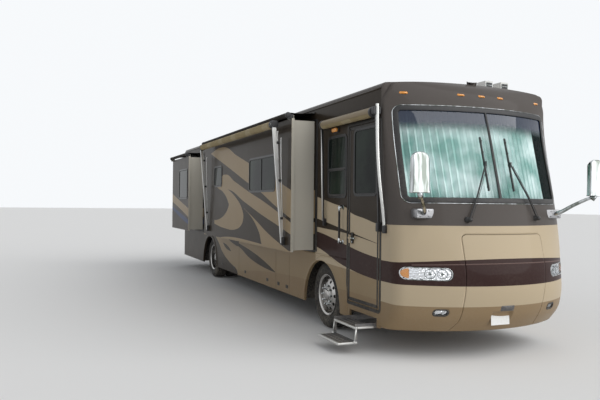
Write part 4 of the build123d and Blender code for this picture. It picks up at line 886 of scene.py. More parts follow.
# Windshield: two bonded panes in a black rubber gasket with a bright bead pressed into it, and a rubber-faced bar
# between them. The glass is tinted, with a dark band that fades in along its upper edge.
shield_outline = rounded_outline(*shield[:3], shield[3], 14)
mesh_piece(
    "windshield_gasket", [front_ring(shield_outline, bead(0.066, 0.012, -0.020, 0.001))], gasket_black, "coach",
    slot="black_plastic", replaces="windshield_trim"
)
mesh_piece(
    "windshield_bright_bead", [front_ring(shield_outline, bead(0.007, 0.008, 0.016, 0.003))], chrome, "coach",
    slot="bright_trim"
)
bar_low_z, bar_high_z = 1.895, 3.06
bar_rows = np.linspace(bar_low_z, bar_high_z, 40)[:, None]
bar_turn = np.linspace(0, 2 * np.pi, 16, endpoint=False)[None, :]
bar_half = 0.016 + 0.006 * (bar_high_z - bar_rows) / (bar_high_z - bar_low_z)
bar_points = front_at(bar_half * np.cos(bar_turn), bar_rows, -0.006 + 0.012 * np.sin(bar_turn))
mesh_piece("windshield_divider", [(bar_points, False, True)], gasket_black, "coach", slot="black_plastic")
tinted = material("windshield glass", (0.05, 0.09, 0.10), 0.02, specular=0.6)
tint_tree = tinted.node_tree
tint_place = add_node(tint_tree, "SeparateXYZ", [(0, place_of(tint_tree))]).outputs["Z"]
tint_noise = add_node(tint_tree, "TexNoise", [("Scale", 2.5), ("Detail", 4.0)]).outputs["Fac"]
tint_edge = calc(tint_tree, "ADD", tint_place, calc(tint_tree, "MULTIPLY", tint_noise, 0.05))
tint = add_node(
    tint_tree, "MapRange", [(0, tint_edge), (1, 2.78), (2, 2.92)], interpolation_type="SMOOTHSTEP"
).outputs[0]
tint_colour = mix(tint_tree, tint, (0.03, 0.09, 0.09, 1), (0.012, 0.022, 0.05, 1))
feed(tint_tree, "Base Color", tint_colour)
tint_alpha = add_node(tint_tree, "MapRange", [(0, tint), (3, 0.10), (4, 0.92)]).outputs[0]
feed(tint_tree, "Alpha", tint_alpha)
glass_outline = rounded_outline(shield[0] - 0.010, shield[1] - 0.010, shield[2] - 0.010, shield[3], 14)
mesh_piece(
    "windshield_panes", [front_panel(glass_outline, -0.010, rings=24)], tinted, "coach", slot="windshield",
    replaces="windshield_glass"
)

# Windshield curtain: one long pleated sheet of pale green lining on a track inside the glass, drawn across from the
# curb side and short of the driver's pillar.
pleat_count = 24
curtain_s = np.linspace(0, 1, pleat_count * 14 + 1)[None, :]
curtain_t = np.linspace(0, 1, 28)[:, None]
track_z, curtain_height = 3.045, 1.17
curtain_z = track_z - curtain_height * curtain_t
pleat_swing = 0.5 + 0.5 * curtain_t
pleat_wander = 1.3 * np.sin(7.0 * curtain_s) + 0.35 * np.sin(3 * curtain_t + 9 * curtain_s)
pleat_phase = curtain_s * pleat_count * 2 * np.pi + pleat_wander
curtain_y = -1.10 + 2.03 * curtain_s + 0.012 * np.sin(2 * pleat_phase) * pleat_swing
pleat_depth = (0.024 + 0.012 * np.sin(11 * curtain_s)) * np.sin(pleat_phase) * pleat_swing
curtain_points = front_at(curtain_y, curtain_z, -0.085 + pleat_depth)
lining = material("curtain lining", (0.60, 0.85, 0.78), 0.85, specular=0.2)
lining_tree = lining.node_tree
lining_place = place_of(lining_tree)
# Soft blotches from a shaded teal to near white across the lining are painted light and shade.
painted_light = noise(lining_tree, lining_place, 3.0, 3.0)
painted_light = ranged(lining_tree, painted_light, 0.35, 0.65)
lining_colour = mix(lining_tree, painted_light, (0.30, 0.54, 0.49, 1), (0.84, 1.0, 0.98, 1))
weave = add_node(
    lining_tree, "TexWave", [("Vector", lining_place), ("Scale", 160.0)], bands_direction="Z"
).outputs["Fac"]
feed(lining_tree, "Base Color", lining_colour)
feed(lining_tree, "Normal", relief(lining_tree, weave, 0.15, 0.0005))
curtain = mesh_piece(
    "windshield_curtain_cloth", [(curtain_points, False, False)], lining, "coach", slot="curtain",
    replaces="windshield_curtain"
)

# Front moulding: a fine half-round line pressed along the mask, just under the top edge of the dark band.
line_turn = np.linspace(0, 2 * np.pi, 10, endpoint=False)[None, :]
line_finish = gloss_paint("moulding line", (0.13, 0.085, 0.075, 1), amount=0.08)
for line_name, line_body, line_span in (
    ("right", "coach", (-1.13, -0.597)), ("hatch", "front_hatch", (-0.585, 0.585)), ("left", "coach", (0.597, 1.13))
):
    line_y = np.linspace(*line_span, 60)[:, None]
    line_points = front_at(line_y, 1.170 - 0.020 * line_y**2 + 0.007 * np.cos(line_turn), 0.004 * np.sin(line_turn))
    mesh_piece(f"front_line_{line_name}", [(line_points, False, True)], line_finish, line_body, slot="front_paint")


# Mirrors: a chromed shell on a bent tube from a cast bracket under the windshield, with a flat lip at the foot and the
# glass in its rear face.
def tube(path, radius, columns=14, upright=(0.0, 0.0, 1.0)):
    """A round rod along a path: at each point a circle square to the path, of that point's radius. Both ends close to a
    point. The direction upright, never along the path, sets where the columns start."""
    path = np.array(path, float)
    along = np.gradient(path, axis=0)
    along = along / np.linalg.norm(along, axis=1, keepdims=True)
    level = np.cross(along, upright)
    level = level / np.linalg.norm(level, axis=1, keepdims=True)
    turn = np.linspace(0, 2 * np.pi, columns, endpoint=False)[None, :, None]
    reach = np.broadcast_to(radius, len(path))[:, None, None]
    ring = path[:, None] + reach * (np.cos(turn) * level[:, None] + np.sin(turn) * np.cross(level, along)[:, None])
    return np.concatenate(
        [np.repeat(path[:1, None], columns, 1), ring, np.repeat(path[-1:, None], columns, 1)]
    ), False, True


def closed_ends(grid):
    """A grid of rings with its first and last ring drawn together to their middles."""
    low, high = (np.broadcast_to(ring.mean(1, keepdims=True), ring.shape) for ring in (grid[:1], grid[-1:]))
    return np.concatenate([low, grid, high])


def eased_path(corners, rounds=3):
    """Corner cutting: every run is cut at a quarter and three quarters of its length, rounds times; the ends stay."""
    spots = np.array(corners, float)
    for _ in range(rounds):
        start, end = spots[:-1], spots[1:]
        cut = np.stack([0.75 * start + 0.25 * end, 0.25 * start + 0.75 * end], 1).reshape(-1, 3)
        spots = np.concatenate([spots[:1], cut, spots[-1:]])
    return spots


def set_on(spots, axis, side, level):
    """Points of a flat drawing set on a plane square to axis, side * level from the middle of the coach."""
    parts = [spots[..., 0], spots[..., 1]]
    parts.insert(axis, side * level)
    return points_of(*parts)


def wall_ring(outline, profile, side, face, axis=1, closed=True):
    """A moulding round an outline on a flat wall: the profile's (across, out) points are set off square to the outline
    and outboard of the wall's face."""
    profile = np.array(profile)
    spots = set_off(outline, profile)
    return set_on(spots, axis, side, face + profile[None, :, 1]), True, closed


def wall_panel(outline, side, face, bulge=0.0, axis=1):
    """A panel that fills an outline on a flat wall: the outline scaled to its middle, bulge further out there."""
    share, spots = drawn_in(outline, 8)
    return set_on(spots, axis, side, face + bulge * (1 - share**2)), False, True


mirror_glass = material("mirror glass", (0.75, 0.77, 0.78), 0.03, 1.0)
worn(mirror_glass, (0.75, 0.77, 0.78, 1), 0.10, 1.2, 60.0, 0.03, 0.03, 0.0)
bracket_grey = worn_finish(
    "cast bracket", (0.33, 0.33, 0.34), 0.35, 0.9, amount=0.25, top=2.0, scale=220.0, middle=0.35, spread=0.15,
    bump=0.25, distance=0.0005
)
mirror_x, mirror_y, mirror_back = 6.300, 1.295, 6.2605
head_v = np.linspace(0, 1, 44)[:, None]
head_u = np.linspace(0, 2 * np.pi, 56, endpoint=False)[None, :]
head_top = np.clip((head_v - 0.80) / 0.20, 0, 1)
head_fill = (1 - 0.10 * head_v) * np.sqrt(1 - 0.86 * head_top**2.4)
head_lip = 1 + 0.05 * np.exp(-((head_v / 0.022) ** 2))
head_y = 0.122 * head_fill * head_lip * np.sign(np.sin(head_u)) * np.abs(np.sin(head_u)) ** 0.38
head_x = 0.040 * head_fill * head_lip * np.sign(np.cos(head_u)) * np.abs(np.cos(head_u)) ** 0.45
for side_name, side in sides.items():
    shell = points_of(mirror_x + head_x, side * mirror_y + head_y, 1.983 + 0.456 * head_v)
    mirror_parts = [(closed_ends(shell), False, True)]
    arm_foot = [(5.90, side * 0.985, 1.750), (5.99, side * 1.02, 1.765), (6.12, side * 1.13, 1.875)]
    arm_path = eased_path([*arm_foot, (mirror_x, side * mirror_y, 1.99)])
    mirror_parts.append(tube(arm_path, np.linspace(0.028, 0.020, len(arm_path))))
    mirror_parts.append(tube([(6.270, side * 1.267, 1.935), (mirror_x, side * mirror_y, 1.995)], 0.030))
    mirror = mesh_piece(f"mirror_{side_name}", mirror_parts, chrome, "coach", slot="chrome")
    bracket = [soft_block((5.79, side * 0.858, 1.694), (5.935, side * 1.093, 1.806), 0.016, 0.008)]
    for bolt_y in (0.93, 1.05):
        for bolt_z in (1.718, 1.782):
            bracket.append(tube([(5.930, side * bolt_y, bolt_z), (5.944, side * bolt_y, bolt_z)], 0.008, 6))
    mesh_piece(f"mirror_bracket_{side_name}", bracket, bracket_grey, "coach", slot="chrome")
    panes, rims = [], []
    for half, middle in ((0.125, 2.262), (0.060, 2.062)):
        pane = rounded_outline(0.090, half, 0.03, (side * mirror_y, middle), 6)
        rim = rounded_outline(0.094, half + 0.004, 0.03, (side * mirror_y, middle), 6)
        panes.append(wall_panel(pane, 1, mirror_back, axis=0))
        rims.append(wall_ring(rim, bead(0.010, 0.006, 0.0, 0.0), 1, mirror_back, 0))
    mesh_piece(f"mirror_panes_{side_name}", panes, mirror_glass, "coach", slot="chrome")
    mesh_piece(f"mirror_rims_{side_name}", rims, gasket_black, "coach", slot="black_plastic")
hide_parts("mirrors")

# Wipers: two black pantograph arms with a hose along each, capped pivots and rubber blades that lie on the glass.
wiper_black = worn_finish(
    "wiper black", (0.014, 0.014, 0.015), 0.4, specular=0.4, amount=0.15, top=3.0, scale=300.0, middle=0.4, spread=0.15,
    bump=0.15, distance=0.0004
)
dress(wiper_black, "wipers")
wiper_parts, rubber_parts = [], []
clip_half = np.array((0.014, 0.010, 0.016))
for pivot_y, pivot_z, blade_y in ((-0.49, 1.68, -0.17), (0.55, 1.70, 0.21)):
    pivot = front_at(np.array([pivot_y]), np.array([pivot_z]))[0]
    cap_out = points_of(np.array((-0.01, 0.012, 0.013, 0.072, 0.082)), 0, 0)
    wiper_parts.append(tube(pivot + cap_out, (0.036, 0.036, 0.026, 0.025, 0.016), 20))
    arm_share = np.linspace(0.02, 0.97, 24)
    hose = front_at(pivot_y + (blade_y - pivot_y) * arm_share + 0.016, pivot_z + (2.36 - pivot_z) * arm_share, 0.056)
    wiper_parts.append(tube(hose, 0.0035, 8))
    blade_rows = np.linspace(2.025, 2.695, 40)
    for clip_z in (2.08, 2.22, 2.36, 2.50, 2.64):
        clip = front_at(np.array([blade_y]), np.array([clip_z]), 0.020)[0]
        wiper_parts.append(soft_block(clip - clip_half, clip + clip_half, 0.005, 0.003))
    strip_corners = ((-0.004, 0.016), (0.004, 0.016), (0.001, 0.001), (-0.001, 0.001))
    strip = [front_at(blade_y + across, blade_rows, out) for across, out in strip_corners]
    rubber_parts.append((np.stack(strip, 1), False, True))
mesh_piece("wiper_fittings", wiper_parts, wiper_black, "coach", slot="black_plastic")
mesh_piece("wiper_rubbers", rubber_parts, gasket_black, "coach", slot="black_plastic")

# Marker lamps: amber teardrops along the brow and red ones along the rear edge of the roof, each on a bright base.
red_lens = material("red lens", (0.45, 0.015, 0.010), 0.12, coat=0.6, coat_roughness=0.03)
worn(red_lens, (0.45, 0.014, 0.010, 1), 0.08, 4.0, 90.0, 0.15, 0.08, 0.15, 0.001)
front_markers, rear_markers, marker_bases = [], [], []
for marker_y in (-1.04, -0.305, 0.0, 0.305, 1.04):
    lens_outline = rounded_outline(0.050, 0.015, 0.0149, (marker_y, 3.235), 8, 0)
    base_outline = rounded_outline(0.056, 0.019, 0.0185, (marker_y, 3.235), 8, 0)
    front_markers.append(front_panel(lens_outline, 0.002, 0.022))
    marker_bases.append(front_panel(base_outline, -0.004, 0.009))
    lens_outline, base_outline = lens_outline + (0, 0.095), base_outline + (0, 0.095)
    rear_markers.append(wall_panel(lens_outline, -1, rear_face, 0.015, axis=0))
    marker_bases.append(wall_panel(base_outline, -1, rear_face - 0.002, 0.008, axis=0))
mesh_piece("marker_lenses", front_markers, amber, "coach", slot="amber", replaces="marker_lamps")
mesh_piece("marker_lenses_rear", rear_markers, red_lens, "coach", slot="red_lamp")
mesh_piece("marker_bases", marker_bases, chrome, "coach", slot="chrome")

# Side mouldings: fibreglass swages round the wheel arches, a half-round belt along the top of the skirt and a drip rail
# under the roof's edge, all painted with the body.
skirt_z, arch_half, arch_rise = 0.315, 0.650, 0.685
front_swage = np.array(
    [
        (4.52, 0.33), (4.515, 0.60), (4.50, 0.76), (4.345, 0.960), (3.98, 1.082), (3.60, 1.090), (3.26, 0.955),
        (3.00, 0.68), (2.90, 0.33)
    ]
)
rear_swage = np.array(
    [
        (0.71, 0.33), (0.68, 0.60), (0.58, 0.82), (0.36, 1.0), (0.0, 1.075), (-0.36, 1.0), (-0.58, 0.82), (-0.68, 0.60),
        (-0.71, 0.33)
    ]
)
swage_across = np.array(
    [
        (0.0, -0.010), (0.0, 0.006), (0.03, 0.014), (0.10, 0.017), (0.45, 0.015), (0.80, 0.009), (0.95, 0.003),
        (1.0, -0.002)
    ]
)
rail_round = np.linspace(0, 2 * np.pi, 12, endpoint=False)[None, :]
for side_name, side in sides.items():
    mouldings = []
    for arch_x, swage in ((front_axle_x, front_swage), (rear_axle_x, rear_swage + (rear_axle_x, 0))):
        arch_turn = np.linspace(0.02, np.pi - 0.02, 60)
        inner = np.stack([arch_x + arch_half * np.cos(arch_turn), skirt_z + arch_rise * np.sin(arch_turn)], -1)
        outer = np.stack([np.interp(arch_turn / np.pi, np.linspace(0, 1, len(swage)), swage[:, k]) for k in (0, 1)], -1)
        for _ in range(4):
            outer[1:-1] = (outer[:-2] + outer[1:-1] * 2 + outer[2:]) / 4
        across = inner[:, None] + (outer - inner)[:, None] * swage_across[None, :, :1]
        arch_skin = set_on(across, 1, side, half_body + swage_across[None, :, 1])
        mouldings.append((arch_skin, False, True))
    for rail_z, rail_end, rail_low, rail_high in (
        (1.092, 4.468 if side < 0 else 5.375, 0.011, 0.010), (3.298, 5.375, 0.012, 0.010)
    ):
        rail_x = np.linspace(-6.20, rail_end, 60)[:, None]
        rail_y = side * (half_body + rail_high * np.cos(rail_round))
        rail_points = points_of(rail_x, rail_y, rail_z + rail_low * np.sin(rail_round))
        mouldings.append((closed_ends(rail_points), False, True))
    mesh_piece(f"side_mouldings_{side_name}", mouldings, coach_paint, "coach", slot="body_paint")

# Luggage-bay doors: flush dark latches in black dishes near the lower edge, two a door.
frame_dark = worn_finish(
    "dark anodised frame", (0.014, 0.012, 0.010), 0.40, 0.3, specular=0.3, amount=0.2, top=1.6, scale=240.0,
    middle=0.42, spread=0.12, bump=0.1, distance=0.0003
)
latch_z = 0.430
for side_name, side in sides.items():
    for bay_number, (bay_rear, bay_front) in enumerate(((1.652, 2.343), (-0.633, 1.652), (-2.290, -0.633)), 1):
        dishes, paddles = [], []
        for share in (0.2, 0.8):
            latch_x = bay_rear + (bay_front - bay_rear) * share
            dish = rounded_outline(0.056, 0.030, 0.014, (latch_x, latch_z), 6)
            dishes.append(wall_ring(dish, bead(0.006, 0.005, -0.003, 0.0), side, half_body))
            dishes.append(wall_panel(dish, side, half_body + 0.001, -0.0004))
            paddle = (latch_x - 0.040, side * 1.2765, latch_z - 0.014), (latch_x + 0.040, side * 1.281, latch_z + 0.016)
            paddles.append(soft_block(*paddle, 0.006, 0.0015, 1))
        bay = f"{side_name}_{bay_number}"
        mesh_piece(f"bay_latch_dishes_{bay}", dishes, gasket_black, f"bay_door_{bay}", slot="black_plastic")
        mesh_piece(f"bay_latches_{bay}", paddles, frame_dark, f"bay_door_{bay}", slot="black_plastic")

# Entry door: an aluminium leaf in a dark anodised frame. One flat ring lies on the wall and one on the leaf; a chromed
# lever on a black plate holds it shut.
flat_ring = [(0.0, -0.001), (0.003, 0.0035), (0.043, 0.0035), (0.046, -0.001)]
door_hole = rounded_outline(0.4285, 1.178, 0.02, (4.9465, 1.720), 5)
mesh_piece(
    "door_frame", [wall_ring(door_hole, np.array(flat_ring) + (0.004, 0), -1, half_body)], frame_dark, "coach",
    smooth=False, slot="dark_glass"
)
leaf_edge = rounded_outline(0.4190, 1.170, 0.02, (4.9445, 1.720), 5)
mesh_piece(
    "door_leaf_edge", [wall_ring(leaf_edge, np.array(flat_ring) - (0.046, 0.0005), -1, half_body)], frame_dark,
    "entry_door", smooth=False, slot="dark_glass"
)
mesh_piece(
    "door_latch_plate", [soft_block((4.626, -1.2935, 1.321), (4.684, -proud, 1.469), 0.012, 0.006, 1)], frame_dark,
    "entry_door", slot="black_plastic"
)
lever_path = eased_path(
    [(4.655, -1.290, 1.395), (4.655, -1.313, 1.395), (4.695, -1.3145, 1.395), (4.767, -1.3135, 1.393)], 3
)
lever_parts = [
    tube(lever_path, np.linspace(0.0155, 0.0135, len(lever_path)), 14, (0.0, 0.0, 1.0)),
    tube([(4.655, -1.291, 1.344), (4.655, -1.298, 1.344)], 0.011, 12)
]
mesh_piece("door_lever", lever_parts, chrome, "entry_door", slot="chrome")

# Windows: each unit's radiused frame clamps the glass in a rubber lip. The galley and driver's windows have a bar and
# a lower slider.
right_face, left_face = 1.685, 1.845
main_holes, rear_holes = [(1.335, 2.675, 2.06, 2.62), (-1.165, -0.575, 2.20, 2.60)], [(-4.955, -3.955, 1.95, 2.69)]
window_rows = [
    ("coach", -1, half_body, [(3.855, 4.433, 1.96, 2.80)]), ("coach", 1, half_body, [(4.150, 5.200, 1.96, 2.80)]),
    ("entry_door", -1, half_body, [(4.69, 5.29, 1.98, 2.83)]),
    ("room_right_front", -1, right_face, main_holes), ("room_left_front", 1, left_face, main_holes),
    ("room_right_rear", -1, right_face, rear_holes), ("room_left_rear", 1, left_face, rear_holes),
]
window_glass = material("window glass", (0.015, 0.020, 0.018), 0.02, specular=0.28)
glass_tree = window_glass.node_tree
glass_tree.nodes["Principled BSDF"].inputs["IOR"].default_value = 1.2
glass_fade = ranged(glass_tree, noise(glass_tree, place_of(glass_tree), 1.6, 4.0), 0.35, 0.7)
glass_tone = mix(glass_tree, glass_fade, (0.006, 0.008, 0.008, 1), (0.022, 0.034, 0.024, 1))
worn(window_glass, glass_tone, 0.06, 1.2, 40.0, 0.03, 0.02, 0.0)
for number, (window_body, side, face, holes) in enumerate(window_rows):
    lips, panes = [], []
    for rear_x, fore_x, low_z, high_z in holes:
        middle = (rear_x + fore_x) / 2, (low_z + high_z) / 2
        half_x, half_z = (fore_x - rear_x) / 2, (high_z - low_z) / 2
        hole = rounded_outline(half_x, half_z, 0.060, middle, 10)
        lips.append(wall_ring(hole, bead(0.014, 0.012, -0.008, 0.006), side, face))
        pane = rounded_outline(half_x - 0.010, half_z - 0.010, 0.052, middle, 10)
        panes.append(wall_panel(pane, side, face + 0.001))
        bars = []
        if window_body == "coach" or half_x > 0.6:
            bar_z = low_z + 0.46 * (high_z - low_z)
            if half_x > 0.4:
                bars.append(((middle[0] - 0.012, low_z + 0.01), (middle[0] + 0.012, high_z - 0.01)))
            else:
                bars.append(((rear_x + 0.01, bar_z - 0.014), (fore_x - 0.01, bar_z + 0.014)))
                pane_middle = (middle[0], (low_z + bar_z) / 2)
                slider = rounded_outline(half_x - 0.024, (bar_z - low_z) / 2 - 0.020, 0.045, pane_middle, 8)
                lips.append(wall_ring(slider, bead(0.016, 0.008, 0.0, 0.004), side, face))
        for (bar_rear, bar_low), (bar_fore, bar_high) in bars:
            bar = (bar_rear, side * face, bar_low), (bar_fore, side * (face + 0.010), bar_high)
            lips.append(soft_block(*bar, 0.004, 0.002, 1))
    mesh_piece(f"window_lips_{window_body}_{number}", lips, gasket_black, window_body, slot="black_plastic")
    mesh_piece(f"window_panes_{window_body}_{number}", panes, window_glass, window_body, slot="dark_glass")

# Grab handle: a rubber-sleeved tube on two chromed feet. The porch light above is an amber lens on a black base.
sleeve = worn_finish(
    "handle sleeve", (0.018, 0.018, 0.019), 0.6, specular=0.3, amount=0.1, top=1.2, scale=500.0, middle=0.6, spread=0.1,
    bump=0.3, distance=0.0004
)
dress(sleeve, "grab_handle")
handle_x, handle_y = 4.35, -1.335
handle_feet = []
for foot_z, cuff in ((1.325, (1.308, 1.378)), (1.805, (1.752, 1.822))):
    flange = points_of(handle_x, -np.array((proud, 1.2835, 1.286)), foot_z)
    handle_feet.append(tube(flange, (0.031, 0.029, 0.020), 20))
    handle_feet.append(tube([(handle_x, -1.280, foot_z), (handle_x, handle_y, foot_z)], 0.0165, 16))
    handle_feet.append(tube([(handle_x, handle_y, end_z) for end_z in cuff], 0.018, 16, (1.0, 0.0, 0.0)))
mesh_piece("grab_handle_feet", handle_feet, chrome, "coach", slot="chrome")
mesh_piece(
    "porch_light_base", [soft_block((4.025, -1.292, 2.862), (4.205, -bedded, 2.940), 0.020, 0.004, 1)], gasket_black,
    "coach", slot="black_plastic"
)
mesh_piece(
    "porch_light_lens", [soft_block((4.038, -1.326, 2.872), (4.192, -1.290, 2.931), 0.026, 0.016, 1)], amber, "coach",
    slot="amber"
)

# Patio awning: striped acrylic rolled on a tube with black end caps, carried by anodised arms whose feet stand on the
# main room. Each arm is a channel with a thinner rafter folded into it and a black knuckle at the roller.
anodised = worn_finish(
    "anodised arm", (0.60, 0.60, 0.58), 0.32, 0.85, amount=0.18, top=2.2, scale=180.0, middle=0.34, spread=0.12,
    bump=0.08, distance=0.0003
)
cap_black = worn_finish(
    "moulded cap", (0.020, 0.020, 0.022), 0.45, specular=0.4, amount=0.12, top=3.2, scale=320.0, middle=0.45,
    spread=0.12, bump=0.2, distance=0.0004
)
dress(anodised, "patio_awning")
dress(cap_black, "door_awning")


def cloth(name, base, stripe, period, share):
    """Woven acrylic: stripes along x, a fine plain weave from two waves, and weather marks from a noise."""
    made = material(name, base[:3], 0.88, specular=0.15)
    tree = made.node_tree
    place = place_of(tree)
    split = add_node(tree, "SeparateXYZ", [(0, place)]).outputs
    band = calc(tree, "FRACT", calc(tree, "DIVIDE", split["X"], period))
    tone = mix(tree, calc(tree, "LESS_THAN", band, share), base, stripe)
    blot = noise(tree, place, 5.0, 6.0)
    fade = add_node(tree, "MapRange", [(0, blot), (1, 0.45), (2, 0.85), (4, 0.45)]).outputs[0]
    tone = mix(tree, fade, tone, tuple(0.55 * part for part in base[:3]) + (1,))
    warp = add_node(tree, "TexWave", [("Vector", place), ("Scale", 260.0)], bands_direction="X").outputs["Fac"]
    weft = add_node(tree, "TexWave", [("Vector", place), ("Scale", 260.0)], bands_direction="DIAGONAL").outputs["Fac"]
    feed(tree, "Base Color", tone)
    feed(tree, "Normal", relief(tree, calc(tree, "ADD", warp, weft), 0.25, 0.0006))
    return made


awning_cloth = cloth("awning acrylic", (0.30, 0.24, 0.135, 1), (0.36, 0.30, 0.19, 1), 0.9, 0.30)
topper_cloth = cloth("topper acrylic", (0.035, 0.030, 0.026, 1), (0.030, 0.026, 0.023, 1), 0.5, 0.5)
roll_turn = np.linspace(0, 1, 64)[None, :]


def rolled(start_x, end_x, middle_y, middle_z, radius):
    """The outer wrap of a rolled cloth: a spiral that grows by 3 mm in one turn and a tenth, wavy by a millimetre along
    x, its free edge lying on the wrap below."""
    x = np.linspace(start_x, end_x, 90)[:, None]
    angle = 2 * np.pi * 1.1 * roll_turn + 0.6
    reach = radius + 0.003 * roll_turn + 0.0008 * np.sin(9 * x) * np.sin(3 * angle)
    return points_of(x, -(middle_y + reach * np.cos(angle)), middle_z + reach * np.sin(angle))


patio_roll_y, patio_roll_z = 1.870, 3.06
patio_roll_points = rolled(-1.545, 3.055, patio_roll_y, patio_roll_z, 0.0565)
patio_roll = mesh_piece(
    "patio_awning_cloth", [(patio_roll_points, False, False)], awning_cloth, "room_right_front", slot="awning"
)
arm_foot_z, arm_lean = 1.21, 0.062
patio_caps, patio_rafters = [], []
for arm_x, turn in ((-1.600, -1), (3.110, 1)):
    cap_x = np.array((0.0, 0.004, 0.012, 0.045, 0.060)) * -turn + arm_x - 0.002 * turn
    cap_path = points_of(cap_x, -patio_roll_y, patio_roll_z)
    patio_caps.append(tube(cap_path, (0.058, 0.064, 0.0665, 0.0665, 0.064), 32))
    arm_mid = arm_x + 0.022 * turn
    patio_caps.append(soft_block((arm_mid - 0.030, -1.915, 3.010), (arm_mid + 0.030, -1.810, 3.115), 0.030, 0.008, 0))
    patio_caps.append(soft_block((arm_mid - 0.032, -1.7425, 1.205), (arm_mid + 0.032, -1.6865, 1.330), 0.012, 0.006, 0))
    for lean, radius, low, high in ((arm_lean, 0.013, 1.33, 2.96), (0.030, 0.010, 1.33, 2.86)):
        share = np.array([0.0, 0.05, 0.5, 0.95, 1.0])
        rafter_z = low + (high - low) * share
        rafter_y = -1.702 - lean * (rafter_z - arm_foot_z) - 0.35 * lean * np.array([0.0, 0.7, 1.0, 0.7, 0.0])
        patio_rafters.append(tube(eased_path(points_of(arm_mid, rafter_y, rafter_z), 2), radius, 10, (1.0, 0.0, 0.0)))
    for clip_z in (1.62, 2.20, 2.78):
        clip_y = -1.700 - arm_lean * (clip_z - arm_foot_z)
        clip = (arm_mid - 0.030, clip_y - 0.038, clip_z - 0.020), (arm_mid + 0.030, clip_y + 0.008, clip_z + 0.020)
        patio_caps.append(soft_block(*clip, 0.010, 0.006, 2))
mesh_piece("patio_awning_caps", patio_caps, cap_black, "room_right_front", slot="black_plastic")
mesh_piece("patio_awning_rafters", patio_rafters, anodised, "room_right_front", slot="bright_trim")

# Door awning: a shorter roll under a curved tan cover, with black end castings. The front arm is a bright flat tube
# that bows forward round the door; the rear one is straight.
cover_tan = gloss_paint("awning cover", (0.26, 0.205, 0.13, 1), amount=0.2)
door_roll_y, door_roll_z = 1.347, 3.0
door_roll_points = rolled(3.805, 5.325, door_roll_y, door_roll_z, 0.0585)
door_roll = mesh_piece("door_awning_cloth", [(door_roll_points, False, False)], awning_cloth, "coach", slot="awning")
cover_turn = np.concatenate([np.linspace(-0.35, 2.5, 26), np.linspace(2.5, -0.35, 26)])[None, :]
cover_reach = np.concatenate([np.full(26, 0.0650), np.full(26, 0.0628)])[None, :]
cover_x = np.linspace(3.800, 5.330, 20)[:, None]
cover_y = -door_roll_y - cover_reach * np.cos(cover_turn)
cover_points = points_of(cover_x, cover_y, door_roll_z + cover_reach * np.sin(cover_turn))
mesh_piece("door_awning_cover", [(cover_points, False, True)], cover_tan, "coach", slot="awning")
castings = []
for cast_x, turn in ((3.790, 1), (5.340, -1)):
    cast_run = cast_x + turn * np.array((-0.004, 0.0, 0.010, 0.040, 0.046))
    castings.append(tube(points_of(cast_run, -door_roll_y, door_roll_z), (0.060, 0.067, 0.0685, 0.0685, 0.066), 32))
castings.append(soft_block((5.380, -1.412, 2.955), (5.432, -1.300, 3.060), 0.028, 0.008))
for low, high in (
    ((5.395, -1.345, 1.515), (5.450, -proud, 1.625)),
    ((5.505, -1.318, 1.500), (5.560, -1.2735, 1.600)),
    ((3.757, -1.325, 1.525), (3.797, -proud, 1.635)),
):
    castings.append(soft_block(low, high, 0.010, 0.006))
mesh_piece("door_awning_castings", castings, cap_black, "coach", slot="black_plastic")
bow_corners = [(5.425, -1.350, 3.090), (5.436, -1.352, 2.65), (5.470, -1.345, 2.25)]
bow_corners += [(5.515, -1.332, 1.95), (5.530, -1.312, 1.75), (5.532, -1.296, 1.58)]
bow_path = eased_path(bow_corners)
straight_path = [(3.777, -1.360, 2.95), (3.777, -1.345, 2.2), (3.777, -1.328, 1.60)]
mesh_piece(
    "door_awning_arms", [tube(bow_path, 0.021, 14, (0.0, 1.0, 0.0)), tube(straight_path, 0.012, 12, (0.0, 1.0, 0.0))],
    anodised, "coach", slot="bright_trim"
)
